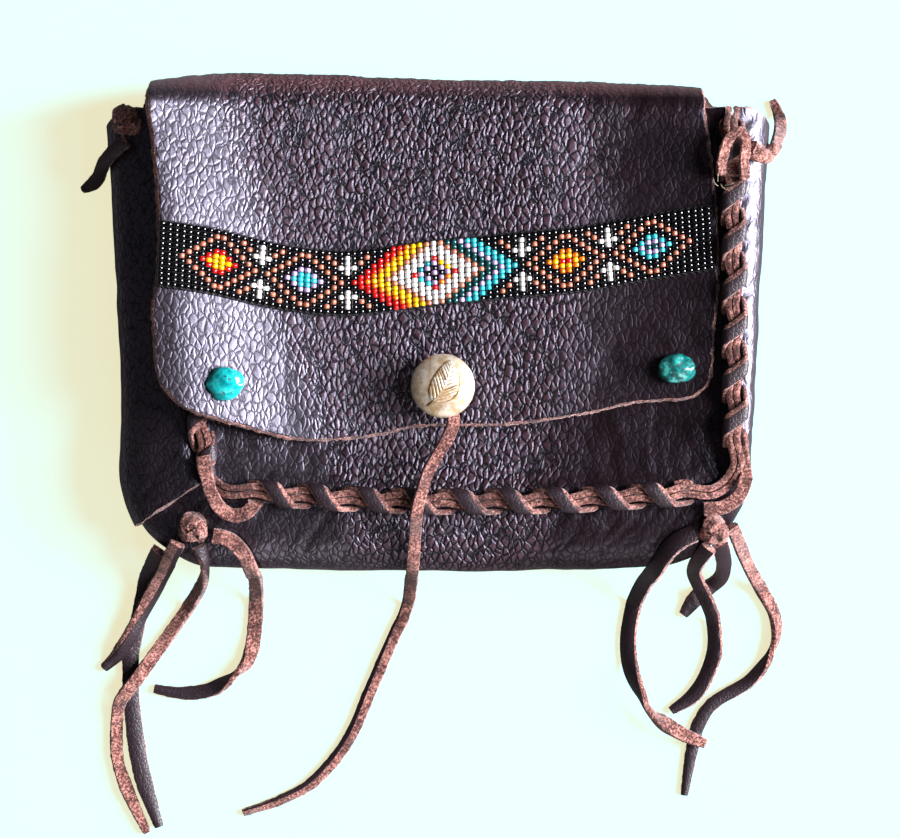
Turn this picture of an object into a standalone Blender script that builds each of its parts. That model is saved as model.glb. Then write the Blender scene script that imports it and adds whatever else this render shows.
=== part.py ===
"""Beaded leather hip bag, lying on its back on its two belt loops with the flap closed.

X runs across the bag, Y from its base to its mouth, Z from its back to its front. All lengths are in metres.
The body leather is one hide: the back panel, with wings that fold round the left side, the base and the right
side and meet the front panel in a whip-laced ridge. The flap turns on the fold line behind the mouth.
"""

import math

import bmesh
import bpy
from mathutils import Matrix, Vector

# Hide and clearances
HIDE = 0.0020  # thickness of the leather
CLEAR = 0.0003  # gap between pieces that touch
SOFT_ROOM = 0.0002  # extra room over a soft ridge

# Belt loops, which carry the bag on the table
LOOP_WIDTH = 0.028
LOOP_CENTRE_X = 0.052
LOOP_CENTRE_Y = -0.004
LOOP_FLAT = 0.040  # the belt passes along this stretch
LOOP_RAMP = 0.005
LOOP_TAB = 0.009
BELT_SLOT = 0.0054  # height left for the belt

# Pouch, measured over the leather
MOUTH_Y = 0.0695  # top edge of the back panel and the wings
POUCH_HEIGHT = 0.1465
POUCH_TOP_WIDTH = 0.2150
POUCH_BASE_WIDTH = 0.1990
BASE_BOW = 0.0025  # how far the base bulges in its middle
CORNER_RADIUS_LEFT = 0.026
CORNER_RADIUS_RIGHT = 0.032
BACK_TUCK = 0.009  # from the widest line in to where the wing leaves the back
BELLY_RISE = 0.0096  # from the back up to the widest line
SEAM_RISE = 0.0180  # from the back up to the foot of the laced ridge

# Laced ridge, measured in from the widest line
LEFT_WING_TOP = 0.0165
LEFT_WING_BASE = 0.0260
RIGHT_WING_TOP = 0.0134
RIGHT_WING_BASE = 0.0044
BASE_WING = 0.0245
SEAM_CORNER_RADIUS = 0.009
SEAM_BOW = 0.0045
LIP_FILLET = 0.0016  # fold radius at the foot of the ridge, at the leather's middle
LIP_ABOVE_SLIT = 0.0022
LIP_GAP = 0.0004  # between the two lips
LAP_RISE = 0.0022  # the left wing laps over the base wing by one hide
LAP_RUN_UP = 0.030

# Lacing
LACE_WIDTH = 0.0056
LACE_THICKNESS = 0.0014
LACE_PITCH = 0.0150
LACE_BEND = 0.0001  # how far the lace runs on before it turns
SLANT_WIDENING = 1.18  # a lace that crosses the ridge aslant covers more of its length
SLIT_EASE = 0.0004  # room on each side of the lace in its slit

# Front panel
PANEL_SAG = 0.0025
PANEL_RING = 0.004  # flat border inside the ridge

# Fold line and flap
CURL_REACH = 0.0080  # from the mouth out to the fold line, over the leather
CURL_RISE = 0.0036
CURL_TAPER_LEFT = 0.0065  # the hide narrows from the back to the fold
CURL_TAPER_RIGHT = 0.0115
FOLD_EDGE = 0.0006  # upright run at the fold line, where the body's hide ends and the flap's starts
FLAP_FOLD_FLARE = 0.0007  # the flap is wider at the fold by this on each side
FOLD_SLOPE = -0.0285  # the fold line falls a little from left to right
FLAP_START_Y = 0.0685
FLAP_LEFT = -0.0880
FLAP_RIGHT = 0.0885
FLAP_HEM_Y = -0.0325  # level from which the hem's wave is measured
FLAP_CORNER_LEFT = 0.013
FLAP_CORNER_RIGHT = 0.009
# The hem's wave from the left edge (0) to the right edge (1)
HEM_WAVE = (
    (0.00, 0.0070),
    (0.08, 0.0036),
    (0.16, -0.0006),
    (0.23, -0.0038),
    (0.30, -0.0044),
    (0.39, -0.0028),
    (0.46, 0.0000),
    (0.60, 0.0004),
    (0.67, 0.0015),
    (0.77, 0.0042),
    (0.85, 0.0074),
    (0.91, 0.0083),
    (1.00, 0.0090),
)
# How far the side edges stand out from the straight, from the fold (0) to the hem (1)
LEFT_EDGE_WAVE = (
    (0.00, -0.0025),
    (0.15, -0.0006),
    (0.38, 0.0010),
    (0.56, 0.0006),
    (0.68, -0.0007),
    (0.80, -0.0002),
    (1.00, 0.0008),
)
RIGHT_EDGE_WAVE = (
    (0.00, -0.0034),
    (0.20, -0.0008),
    (0.36, 0.0005),
    (0.55, 0.0010),
    (0.78, -0.0003),
    (1.00, -0.0015),
)

# Bead band, loomed
BEAD_COLUMNS = 83
BEAD_ROWS = 13
BEAD_LENGTH = 0.00155  # along the bead's hole, across the band
BAND_THICKNESS = 0.0016
BAND_VALLEY = 0.0009  # thickness between two columns
BAND_END_MARGIN = 0.0012
# The band's middle, from the flap's left edge (0) to its right edge (1)
BAND_LINE = (
    (0.00, 0.0214),
    (0.09, 0.0195),
    (0.18, 0.0161),
    (0.24, 0.0143),
    (0.32, 0.0132),
    (0.39, 0.0140),
    (0.49, 0.0164),
    (0.57, 0.0176),
    (0.64, 0.0188),
    (0.76, 0.0207),
    (0.88, 0.0244),
    (1.00, 0.0276),
)

# Button and its screw
BUTTON_X = 0.0016
BUTTON_Y = -0.0197
BUTTON_RADIUS = 0.01015
BUTTON_RIM = 0.0014
BUTTON_DOME = 0.0032
BUTTON_LIFT = 0.0040  # the thong lies in this space under the button
POST_RADIUS = 0.0019
POST_HOLE_EASE = 0.0004
SOCKET_DEPTH = 0.0012
SCREW_HEAD_RADIUS = 0.0048
SCREW_HEAD_HEIGHT = 0.0010

# Turquoise nuggets: centre, then width, height and thickness
NUGGETS = {
    "turquoise_left": ((-0.0663, -0.0190), (0.0122, 0.0104, 0.0062), 0.4),
    "turquoise_right": ((0.0759, -0.0142), (0.0118, 0.0092, 0.0058), 2.3),
}
NUGGET_FLAT = 0.32  # share of the thickness below the middle, where it sits flat

# Knots: the corner of the laced ridge beside each, and the way to its centre from the foot of the ridge there
KNOT_SIZE = 0.0096
KNOTS = {
    "knot_left": ("left base", (-0.0045, -0.0128, 0.0025)),
    "knot_right": ("right base", (-0.0069, -0.0137, 0.0021)),
    "knot_top_left": ("left top", (-0.0082, -0.0050, 0.0030)),
    "knot_top_right": ("right top", (-0.0019, -0.0125, 0.0104)),
}

# Loose laces, in millimetres along the middle of each
LACE_TUBE_RADIUS = 0.0017
LACE_ROUTES = {
    "fringe_left_1": (
        (-83, -70, 28.4),
        (-85.6, -74, 23.8),
        (-87.5, -77, 19),
        (-90, -81, 13),
        (-93.5, -86.5, 8.6),
        (-98, -94.5, 6.2),
        (-102, -102, 5.9),
        (-106, -108, 3.6),
        (-111.3, -113, 2),
    ),
    "fringe_left_2": (
        (-76, -70.8, 28),
        (-74.8, -75.4, 25.3),
        (-74.9, -78.4, 22.6),
        (-75.4, -80.2, 18.6),
        (-77, -83.5, 12.5),
        (-80.5, -89, 5.4),
        (-85, -95.5, 2.2),
        (-91, -104, 2.2),
        (-96, -111, 3.8),
        (-99.5, -116, 5.9),
        (-103.5, -121, 5.9),
        (-106.5, -127, 3.4),
        (-107, -142, 2),
        (-103, -155, 2),
        (-97, -168, 2),
    ),
    "fringe_left_3": (
        (-71.6, -67.4, 28.6),
        (-66.5, -68.6, 28.4),
        (-62.2, -73, 27),
        (-60.4, -77.4, 24.8),
        (-59.8, -80.2, 21.2),
        (-59.7, -81, 16.5),
        (-60, -84.5, 8.5),
        (-60.5, -90.5, 3),
        (-61, -98, 2),
        (-62, -106, 2),
        (-65, -113, 2),
        (-75, -120, 2),
        (-85, -121.5, 2),
        (-94.6, -120, 2),
    ),
    "fringe_left_4": (
        (-89.9, -72.6, 21.4),
        (-92.5, -76.5, 15),
        (-95.5, -81.5, 8),
        (-98, -88, 2.8),
        (-99.5, -95, 2),
        (-101, -102, 2),
        (-102.5, -110, 2),
        (-102, -126, 2),
        (-99, -147, 2),
        (-93, -166, 2),
    ),
    "fringe_right_1": (
        (82, -66.6, 28.6),
        (76.6, -69.4, 27.9),
        (72.6, -73.8, 26.2),
        (70.2, -78.6, 22.4),
        (68.8, -81.3, 16.5),
        (67.4, -85, 9),
        (65, -92, 3),
        (63.2, -103, 2),
        (64, -113, 3.6),
        (67, -121, 5.9),
        (71, -128, 5.9),
        (80, -134, 5.9),
        (88.4, -137.7, 5.6),
    ),
    "fringe_right_2": (
        (86.8, -71.2, 26.4),
        (85, -74.2, 22.9),
        (83.6, -77.6, 18),
        (84, -81, 12),
        (86.5, -86, 7.6),
        (89.5, -92, 6.1),
        (91.6, -98, 3),
        (91.6, -109, 2),
        (86, -121, 2),
        (77.5, -127.5, 2),
    ),
    "fringe_right_3": (
        (94.3, -64.8, 24.7),
        (97, -69.5, 20),
        (99.5, -74, 14),
        (103, -80, 7.5),
        (107.5, -87, 2.8),
        (112, -96, 2),
        (111.5, -106, 2),
        (104, -117, 2),
        (92, -124.5, 2),
        (87, -131.5, 2),
        (85, -138, 2),
        (83.5, -146, 2),
        (82, -155.5, 2),
    ),
    "fringe_right_4": (
        (90.8, -70.4, 22.6),
        (92.4, -74, 17.5),
        (93.8, -78, 11),
        (93.5, -82.5, 5.5),
        (90.5, -86, 2.4),
        (86.5, -89, 2),
        (81.5, -95.5, 2),
    ),
    "button_thong": (
        (4.4, -26, 31.9),
        (5, -31, 31.9),
        (3, -36.5, 31.4),
        (-0.6, -42.5, 31),
        (-3.2, -47.5, 32.6),
        (-4.7, -52.4, 36.2),
        (-5.9, -56.5, 36.5),
        (-6.6, -60, 36.4),
        (-7, -63.2, 34),
        (-7.3, -67, 30),
        (-7.6, -71.5, 28),
        (-8, -76, 26),
        (-8.2, -79.4, 23.2),
        (-8.5, -81.6, 19.6),
        (-8.7, -82.4, 15.5),
        (-9.2, -86, 8),
        (-10, -91, 3.2),
        (-12, -97, 2),
        (-15, -103, 2),
        (-22, -119, 2),
        (-30, -137, 2),
        (-41, -150.5, 2),
        (-52, -157, 2),
        (-65, -161.5, 2),
    ),
    "tail_top_left": (
        (-99.4, 58.4, 29.2),
        (-102, 56.8, 27.6),
        (-104.9, 54.6, 25.5),
        (-107.7, 52.2, 21.8),
        (-109.6, 50.5, 17),
        (-111.5, 49, 11),
        (-114.5, 47.5, 5.5),
        (-118.1, 46.5, 2),
    ),
    "tail_top_right": (
        (99.2, 55.5, 35.8),
        (102, 54.6, 32),
        (104.8, 54.8, 27.8),
        (107.2, 55.8, 23.4),
        (109.4, 58, 18),
        (111, 61, 12.5),
        (113, 65.5, 6.5),
        (113.4, 70.5, 3),
        (111.4, 76, 2),
    ),
}

# Heights that follow from the sizes above, at the middle of the leather
BACK_Z = HIDE + BELT_SLOT + HIDE / 2
BELLY_Z = BACK_Z + BELLY_RISE
SEAM_Z = BACK_Z + SEAM_RISE
SLIT_HEIGHT = LACE_THICKNESS + 2 * SLIT_EASE
SLIT_LOW = SEAM_Z + LIP_FILLET
SLIT_HIGH = SLIT_LOW + SLIT_HEIGHT
LIP_TOP = SLIT_HIGH + LIP_ABOVE_SLIT
LIP_OFFSET = LIP_GAP / 2 + HIDE / 2
LACE_OFFSET = LIP_OFFSET + HIDE / 2 + CLEAR + LACE_THICKNESS / 2
LACE_TOP = LIP_TOP + CLEAR + LACE_THICKNESS / 2
LOOP_HEIGHT = 0.0036  # the corner loop is drawn up narrow against the lip
LOOP_Z = LIP_TOP - LOOP_HEIGHT / 2 + 0.0006
RIDGE_TOP = LACE_TOP + LACE_THICKNESS / 2
FOLD_Z = BACK_Z + CURL_RISE
FOLD_Y = MOUTH_Y + CURL_REACH
FLAP_LOW = SEAM_Z + HIDE + CLEAR + SOFT_ROOM
FLAP_HIGH = RIDGE_TOP + CLEAR + SOFT_ROOM + HIDE / 2 + 0.0004
BAND_WIDTH = BEAD_ROWS * BEAD_LENGTH

LEFT, LEFT_CORNER, BASE, RIGHT_CORNER, RIGHT = range(5)
CORNER_STEPS = (0.25, 0.5, 0.75)


def clear_scene():
    for obj in list(bpy.data.objects):
        bpy.data.objects.remove(obj, do_unlink=True)


def collection(name):
    made = bpy.data.collections.new(name)
    bpy.context.scene.collection.children.link(made)
    return made


def material(name, hex_colour, roughness, metallic=0.0):
    made = bpy.data.materials.new(name)
    made.use_nodes = True
    shader = made.node_tree.nodes["Principled BSDF"]
    channels = [int(hex_colour[i : i + 2], 16) / 255 for i in (0, 2, 4)]
    linear = [c / 12.92 if c < 0.04045 else ((c + 0.055) / 1.055) ** 2.4 for c in channels]
    shader.inputs["Base Color"].default_value = (*linear, 1)
    shader.inputs["Roughness"].default_value = roughness
    shader.inputs["Metallic"].default_value = metallic
    return made


def object_from(bm, name, finish):
    bmesh.ops.recalc_face_normals(bm, faces=bm.faces)
    mesh = bpy.data.meshes.new(name)
    bm.to_mesh(mesh)
    bm.free()
    mesh.shade_smooth()
    mesh.set_sharp_from_angle(angle=math.radians(40))
    obj = bpy.data.objects.new(name, mesh)
    obj.data.materials.append(finish)
    parts.objects.link(obj)
    return obj


def thicken(obj, thickness):
    """A sheet drawn at the leather's middle becomes a solid of this thickness."""
    solidify = obj.modifiers.new("Hide thickness", "SOLIDIFY")
    solidify.thickness = thickness
    solidify.offset = 0
    solidify.use_even_offset = False


def hang_on_fold(names):
    """The flap and what is on it turn about an empty on the fold line."""
    fold = bpy.data.objects.new("fold_line", None)
    fold.location = (0, FOLD_Y, FOLD_Z)
    parts.objects.link(fold)
    for name in names:
        obj = bpy.data.objects[name]
        obj.parent = fold
        obj.matrix_parent_inverse = Matrix.Translation(-fold.location)


def smooth_step(t):
    t = min(1.0, max(0.0, t))
    return t * t * (3 - 2 * t)


def through(points, t):
    """The value at t on a smooth curve through the (place, value) points."""
    for i in range(len(points) - 1):
        (t0, v0), (t1, v1) = points[i], points[i + 1]
        if t <= t1 or i == len(points) - 2:
            before = points[max(i - 1, 0)]
            after = points[min(i + 2, len(points) - 1)]
            slope0 = (v1 - before[1]) / (t1 - before[0])
            slope1 = (after[1] - v0) / (after[0] - t0)
            run = t1 - t0
            s = (t - t0) / run
            h00 = (1 + 2 * s) * (1 - s) ** 2
            h01 = s * s * (3 - 2 * s)
            return h00 * v0 + s * (1 - s) ** 2 * run * slope0 + h01 * v1 + s * s * (s - 1) * run * slope1


class Channel:
    """A line down the left side, along the base and up the right side, with round corners.

    It has five stretches, and a place on it is a stretch and a fraction from 0 to 1 along it."""

    def __init__(self, corners, radii, bow):
        left_top, left_base, right_base, right_top = (Vector(c) for c in corners)
        self.left_top, self.right_top = left_top, right_top
        self.arcs = [
            self.corner_arc(left_top, left_base, right_base, radii[0]),
            self.corner_arc(left_base, right_base, right_top, radii[1]),
        ]
        self.middle = (left_base.x + right_base.x) / 2
        self.half = (right_base.x - left_base.x) / 2
        self.bow = bow

    @staticmethod
    def corner_arc(before, at, after, radius):
        u, v = (before - at).normalized(), (after - at).normalized()
        half = u.angle(v) / 2
        centre = at + (u + v).normalized() * radius / math.sin(half)
        reach = radius / math.tan(half)
        return centre, at + u * reach - centre, at + v * reach - centre

    def point(self, stretch, fraction):
        (centre_a, start_a, end_a), (centre_b, start_b, end_b) = self.arcs
        if stretch == LEFT:
            return self.left_top.lerp(centre_a + start_a, fraction)
        if stretch == RIGHT:
            return (centre_b + end_b).lerp(self.right_top, fraction)
        if stretch == LEFT_CORNER:
            flat = centre_a + self.swing(start_a, end_a, fraction)
        elif stretch == RIGHT_CORNER:
            flat = centre_b + self.swing(start_b, end_b, fraction)
        else:
            flat = (centre_a + end_a).lerp(centre_b + start_b, fraction)
        across = (flat.x - self.middle) / self.half
        return flat - Vector((0, self.bow * max(0, 1 - across * across)))

    @staticmethod
    def swing(start, end, fraction):
        angle = start.angle(end)
        return (start * math.sin((1 - fraction) * angle) + end * math.sin(fraction * angle)) / math.sin(angle)

    def outward(self, stretch, fraction):
        step = 0.004
        low, high = max(fraction - step, 0), min(fraction + step, 1)
        along = (self.point(stretch, high) - self.point(stretch, low)).normalized()
        return Vector((along.y, -along.x))

    def length(self, stretch):
        places = [self.point(stretch, i / 24) for i in range(25)]
        return sum((b - a).length for a, b in zip(places, places[1:]))


def pouch_line(inset):
    """The widest line of the pouch, moved in by this much."""
    top, base = POUCH_TOP_WIDTH / 2 - inset, POUCH_BASE_WIDTH / 2 - inset
    base_y = MOUTH_Y - POUCH_HEIGHT + inset
    return Channel(
        ((-top, MOUTH_Y), (-base, base_y), (base, base_y), (top, MOUTH_Y)),
        (CORNER_RADIUS_LEFT - inset, CORNER_RADIUS_RIGHT - inset),
        BASE_BOW,
    )


def ridge_corners():
    base_y = MOUTH_Y - POUCH_HEIGHT + BASE_WING
    return {
        "left top": (-POUCH_TOP_WIDTH / 2 + LEFT_WING_TOP, MOUTH_Y),
        "left base": (-POUCH_BASE_WIDTH / 2 + LEFT_WING_BASE, base_y),
        "right base": (POUCH_BASE_WIDTH / 2 - RIGHT_WING_BASE, base_y),
        "right top": (POUCH_TOP_WIDTH / 2 - RIGHT_WING_TOP, MOUTH_Y),
    }


def ridge_line():
    """The middle of the laced ridge, between its two lips."""
    return Channel(ridge_corners().values(), (SEAM_CORNER_RADIUS, SEAM_CORNER_RADIUS), SEAM_BOW)


def slit_centres(stretch):
    """Where the lace passes through both lips, as fractions of a straight stretch."""
    count = max(2, round(ridge.length(stretch) / LACE_PITCH))
    return [(k + 0.5) / count for k in range(count)]


def columns():
    """Every (stretch, fraction, opens a slit) along the wings, from the left top to the right top."""
    places = [(LEFT, 0.0, False)]
    for stretch in range(5):
        if stretch in (LEFT_CORNER, RIGHT_CORNER):
            places += [(stretch, f, False) for f in CORNER_STEPS]
        else:
            half = (LACE_WIDTH / 2 + SLIT_EASE) / ridge.length(stretch)
            for centre in slit_centres(stretch):
                places += [(stretch, centre - half, True), (stretch, centre + half, False)]
        places.append((stretch, 1.0, False))
    return places


def lap_lift(stretch, fraction):
    """The left wing rises by one hide as it nears the lap at the left corner."""
    if stretch == LEFT:
        left = (1 - fraction) * ridge.length(LEFT)
        return LAP_RISE * smooth_step(1 - left / LAP_RUN_UP)
    return LAP_RISE if stretch == LEFT_CORNER and fraction <= CORNER_STEPS[0] else 0.0


def lip_rows(side):
    """(way out from the ridge's middle, height) from the lip's top to its foot. side is 1 for the wing."""
    turn = LIP_FILLET * (1 - math.cos(math.pi / 4))
    return [
        (side * LIP_OFFSET, LIP_TOP),
        (side * LIP_OFFSET, SLIT_HIGH),
        (side * LIP_OFFSET, SLIT_LOW),
        (side * (LIP_OFFSET + turn), SEAM_Z + turn),
        (side * (LIP_OFFSET + LIP_FILLET), SEAM_Z),
    ]


def on_ridge(stretch, fraction, out, z):
    place = ridge.point(stretch, fraction) + ridge.outward(stretch, fraction) * out
    return Vector((place.x, place.y, z))


def wing_section(stretch, fraction, lift):
    """The leather's middle from the lip's top, over the belly, to where the wing leaves the back."""
    section = [on_ridge(stretch, fraction, out, z) for out, z in lip_rows(1)]
    foot = section[-1]
    belly = pouch_middle.point(stretch, fraction)
    inward = (Vector((foot.x, foot.y)) - belly).normalized()
    inset = (Vector((foot.x, foot.y)) - belly).length
    upper = [math.radians(a) for a in (68, 45, 22, 0)]
    lower = [math.radians(a) for a in (62, 32, 0)]
    for angle in upper:
        place = belly + inward * inset * (1 - math.cos(angle))
        raised = lift * math.sin(2 * min(angle, math.pi / 4)) * Vector((0, 0, 1))
        pushed = -inward * lift * math.cos(angle)
        z = BELLY_Z + (SEAM_Z - BELLY_Z) * math.sin(angle)
        section.append(Vector((place.x + pushed.x, place.y + pushed.y, z)) + raised)
    for angle in lower:
        place = belly + inward * BACK_TUCK * (1 - math.sin(angle))
        pushed = -inward * lift * max(0, math.sin(angle) * 2 - 1)
        z = BELLY_Z - BELLY_RISE * math.cos(angle)
        section.append(Vector((place.x + pushed.x, place.y + pushed.y, z)))
    return section


def fold_line_y(x):
    """The outer face of the leather at the fold, which falls a little from left to right."""
    return FOLD_Y + FOLD_SLOPE * x


def body_wrap():
    bm = bmesh.new()
    grid, slits = [], []
    for stretch, fraction, slit in columns():
        lift = lap_lift(stretch, fraction)
        grid.append([bm.verts.new(p) for p in wing_section(stretch, fraction, lift)])
        slits.append(slit)
        if stretch == LEFT_CORNER and fraction == CORNER_STEPS[0]:
            grid.append([bm.verts.new(p) for p in wing_section(stretch, fraction + 0.02, 0.0)])
            slits.append(False)
    for left, right, slit in zip(grid, grid[1:], slits):
        for row in range(len(left) - 1):
            if not (slit and row == 1):
                bm.faces.new((left[row], left[row + 1], right[row + 1], right[row]))
    back_edge = [column[-1] for column in grid]
    start, end = back_edge[0].co, back_edge[-1].co
    steps, rises = 12, 4
    curl = [back_edge[0]]
    curl += [bm.verts.new(start.lerp(end, i / steps)) for i in range(1, steps)]
    curl.append(back_edge[-1])
    bm.faces.new(back_edge + curl[-2:0:-1])
    for rise in range(1, rises + 2):
        angle = math.pi / 2 * min(1, rise / rises)
        upper = []
        for i in range(steps + 1):
            across = 2 * i / steps - 1
            taper = CURL_TAPER_LEFT * min(across, 0) + CURL_TAPER_RIGHT * max(across, 0)
            x = start.lerp(end, i / steps).x - taper * min(1, rise / rises)
            reach = fold_line_y(x) - HIDE / 2 - MOUTH_Y
            z = BACK_Z + (CURL_RISE - CLEAR / 2 - FOLD_EDGE) * (1 - math.cos(angle))
            if rise > rises:
                z += FOLD_EDGE
            upper.append(bm.verts.new((x, MOUTH_Y + reach * math.sin(angle), z)))
        for i in range(steps):
            bm.faces.new((curl[i], curl[i + 1], upper[i + 1], upper[i]))
        curl = upper
    obj = object_from(bm, "body_wrap", leather)
    thicken(obj, HIDE)


def coarse_places():
    """The ridge's places that the front panel's own grid uses: left side, base and right side."""
    left = [(LEFT, 0.0)] + [(LEFT, c) for c in slit_centres(LEFT)] + [(LEFT, 1.0), (LEFT_CORNER, 0.5)]
    base = [(LEFT_CORNER, 0.5), (BASE, 0.0)] + [(BASE, c) for c in slit_centres(BASE)]
    base += [(BASE, 1.0), (RIGHT_CORNER, 0.5)]
    right = [(RIGHT, 1.0)] + [(RIGHT, c) for c in reversed(slit_centres(RIGHT))]
    right += [(RIGHT, 0.0), (RIGHT_CORNER, 0.5)]
    return left, base, right


def resample(points, count):
    """The same line with this many points, evenly spread along it."""
    lengths = [0.0]
    for a, b in zip(points, points[1:]):
        lengths.append(lengths[-1] + (b - a).length)
    out = []
    for i in range(count):
        at = lengths[-1] * i / (count - 1)
        k = min(max(j for j in range(len(points)) if lengths[j] <= at + 1e-9), len(points) - 2)
        out.append(points[k].lerp(points[k + 1], (at - lengths[k]) / (lengths[k + 1] - lengths[k])))
    return out


def panel_grid():
    """Rows of points over the front panel inside its border, sagging towards the middle and the mouth."""
    border = -(LIP_OFFSET + LIP_FILLET + PANEL_RING)

    def inside(place):
        point = on_ridge(*place, border, SEAM_Z)
        return Vector((point.x, point.y))

    left, base, right = ([inside(p) for p in side] for side in coarse_places())
    right = resample(right, len(left))
    top = resample([left[0], right[0]], len(base))
    rows, last_row, last_column = [], len(left) - 1, len(base) - 1
    for i in range(len(left)):
        v, row = i / last_row, []
        for j in range(len(base)):
            u = j / last_column
            flat = top[j] * (1 - v) + base[j] * v + left[i] * (1 - u) + right[i] * u
            flat -= (top[0] * (1 - u) + top[-1] * u) * (1 - v) + (base[0] * (1 - u) + base[-1] * u) * v
            sag = PANEL_SAG * (1 - (2 * u - 1) ** 4) * (1 - v**4)
            row.append(Vector((flat.x, flat.y, SEAM_Z - sag)))
        rows.append(row)
    return rows


def front_panel():
    """The panel inside the ridge, with its own lip turned up against the wing's lip."""
    bm = bmesh.new()
    rows = [[bm.verts.new(p) for p in row] for row in panel_grid()]
    for upper, lower in zip(rows, rows[1:]):
        for j in range(len(upper) - 1):
            bm.faces.new((upper[j], upper[j + 1], lower[j + 1], lower[j]))
    left, base, right = coarse_places()
    ring = {p: rows[i][0] for i, p in enumerate(left)}
    ring.update({p: rows[-1][j] for j, p in enumerate(base)})
    ring.update({p: rows[i][-1] for i, p in enumerate(right)})

    def nearest(stretch, fraction):
        """The grid's own place beside this column of the lip."""
        if stretch in (LEFT_CORNER, RIGHT_CORNER):
            return (stretch, 0.5)
        options = [p for p in ring if p[0] == stretch]
        return min(options, key=lambda p: abs(p[1] - fraction))

    ring[(LEFT, 1.0)] = ring.get((LEFT, 1.0))
    previous = None
    for stretch, fraction, slit in columns():
        lip = [bm.verts.new(on_ridge(stretch, fraction, out, z)) for out, z in lip_rows(-1)]
        inner = ring[nearest(stretch, fraction)]
        if previous:
            before, before_inner, before_slit = previous
            for row in range(len(lip) - 1):
                if not (before_slit and row == 1):
                    bm.faces.new((before[row], before[row + 1], lip[row + 1], lip[row]))
            if inner is before_inner:
                bm.faces.new((before[-1], inner, lip[-1]))
            else:
                bm.faces.new((before[-1], before_inner, inner, lip[-1]))
        previous = (lip, inner, slit)
    obj = object_from(bm, "front_panel", leather)
    thicken(obj, HIDE)


def strip(name, rings, finish):
    """A flat lace from its rings: (centre, vector across its whole width, way that its flat side faces)."""
    bm = bmesh.new()
    corners = ((-1, -1), (1, -1), (1, 1), (-1, 1))
    loops = []
    for centre, across, out in rings:
        half = out.normalized() * LACE_THICKNESS / 2
        loops.append([bm.verts.new(centre + across * a / 2 + half * b) for a, b in corners])
    for ring_a, ring_b in zip(loops, loops[1:]):
        for k in range(4):
            bm.faces.new((ring_a[k], ring_a[(k + 1) % 4], ring_b[(k + 1) % 4], ring_b[k]))
    bm.faces.new(loops[0][::-1])
    bm.faces.new(loops[-1])
    return object_from(bm, name, finish)


def lacing(name, stretch, corner_before=None):
    """Whip lacing: through both lips at a slit, up, aslant over the ridge and down to the next slit.

    With corner_before it starts with a loop round that corner of the ridge, flat against the wing's lip."""
    rings = []
    bend = LACE_BEND + LACE_THICKNESS / 2
    slit_z = (SLIT_LOW + SLIT_HIGH) / 2
    up = Vector((0, 0, 1))

    def place(at_stretch, fraction, out, z, facing, width=LACE_WIDTH, turn=0.0):
        """turn is the angle from lying along the ridge to standing upright, in the plane of the lip."""
        normal = ridge.outward(at_stretch, fraction).to_3d()
        along = Vector((-normal.y, normal.x, 0))
        across = (along * math.cos(turn) + up * math.sin(turn)) * width
        rings.append((on_ridge(at_stretch, fraction, out, z), across, normal * facing[0] + up * facing[1]))

    slits = slit_centres(stretch)
    pitch = slits[1] - slits[0]
    if corner_before is not None:
        for fraction in (0.0, *CORNER_STEPS, 1.0):
            place(corner_before, fraction, LACE_OFFSET, LOOP_Z, (1, 0), LOOP_HEIGHT, math.pi / 2)
        for before, drop, turn in ((0.16, 0.0, 65), (0.03, 0.0004, 25)):
            at = slits[0] - before * pitch
            place(stretch, at, LACE_OFFSET, LOOP_Z - drop, (1, 0), LOOP_HEIGHT, math.radians(turn))
    wide = LACE_WIDTH * SLANT_WIDENING
    for k, at in enumerate(slits):
        place(stretch, at, LACE_OFFSET, slit_z + bend, (1, 0))
        place(stretch, at, LACE_OFFSET - bend, slit_z, (0, -1))
        place(stretch, at, bend - LACE_OFFSET, slit_z, (0, -1))
        place(stretch, at, -LACE_OFFSET, slit_z + bend, (-1, 0))
        if k < len(slits) - 1:
            place(stretch, at + 0.33 * pitch, -LACE_OFFSET, LACE_TOP - bend, (-1, 0), wide)
            place(stretch, at + 0.38 * pitch, bend - LACE_OFFSET, LACE_TOP, (0, 1), wide)
            place(stretch, at + 0.62 * pitch, LACE_OFFSET - bend, LACE_TOP, (0, 1), wide)
            place(stretch, at + 0.67 * pitch, LACE_OFFSET, LACE_TOP - bend, (1, 0), wide)
    strip(name, rings, lace_leather)


def side_edges(v):
    """X of the flap's two side edges, from the fold (0) to the hem (1)."""
    return FLAP_LEFT + through(LEFT_EDGE_WAVE, v), FLAP_RIGHT + through(RIGHT_EDGE_WAVE, v)


def hem_y(x):
    return FLAP_HEM_Y + through(HEM_WAVE, (x - FLAP_LEFT) / (FLAP_RIGHT - FLAP_LEFT))


def flap_z(x, y):
    """Middle of the flap's leather. Its left part rides over the laced ridge and slopes down to the right."""
    run = (MOUTH_Y - y) / (MOUTH_Y - FLAP_HEM_Y)
    ridge_x = -POUCH_TOP_WIDTH / 2 + LEFT_WING_TOP
    ridge_x += (LEFT_WING_BASE - LEFT_WING_TOP + (POUCH_TOP_WIDTH - POUCH_BASE_WIDTH) / 2) * run * 0.82
    high_x = ridge_x + LACE_OFFSET + 0.006
    low_x = -0.052 + 0.036 * run
    t = min(1.0, max(0.0, (low_x - x) / (low_x - high_x)))
    return FLAP_LOW + (FLAP_HIGH - FLAP_LOW) * (0.5 * t + 0.5 * smooth_step(t))


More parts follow.
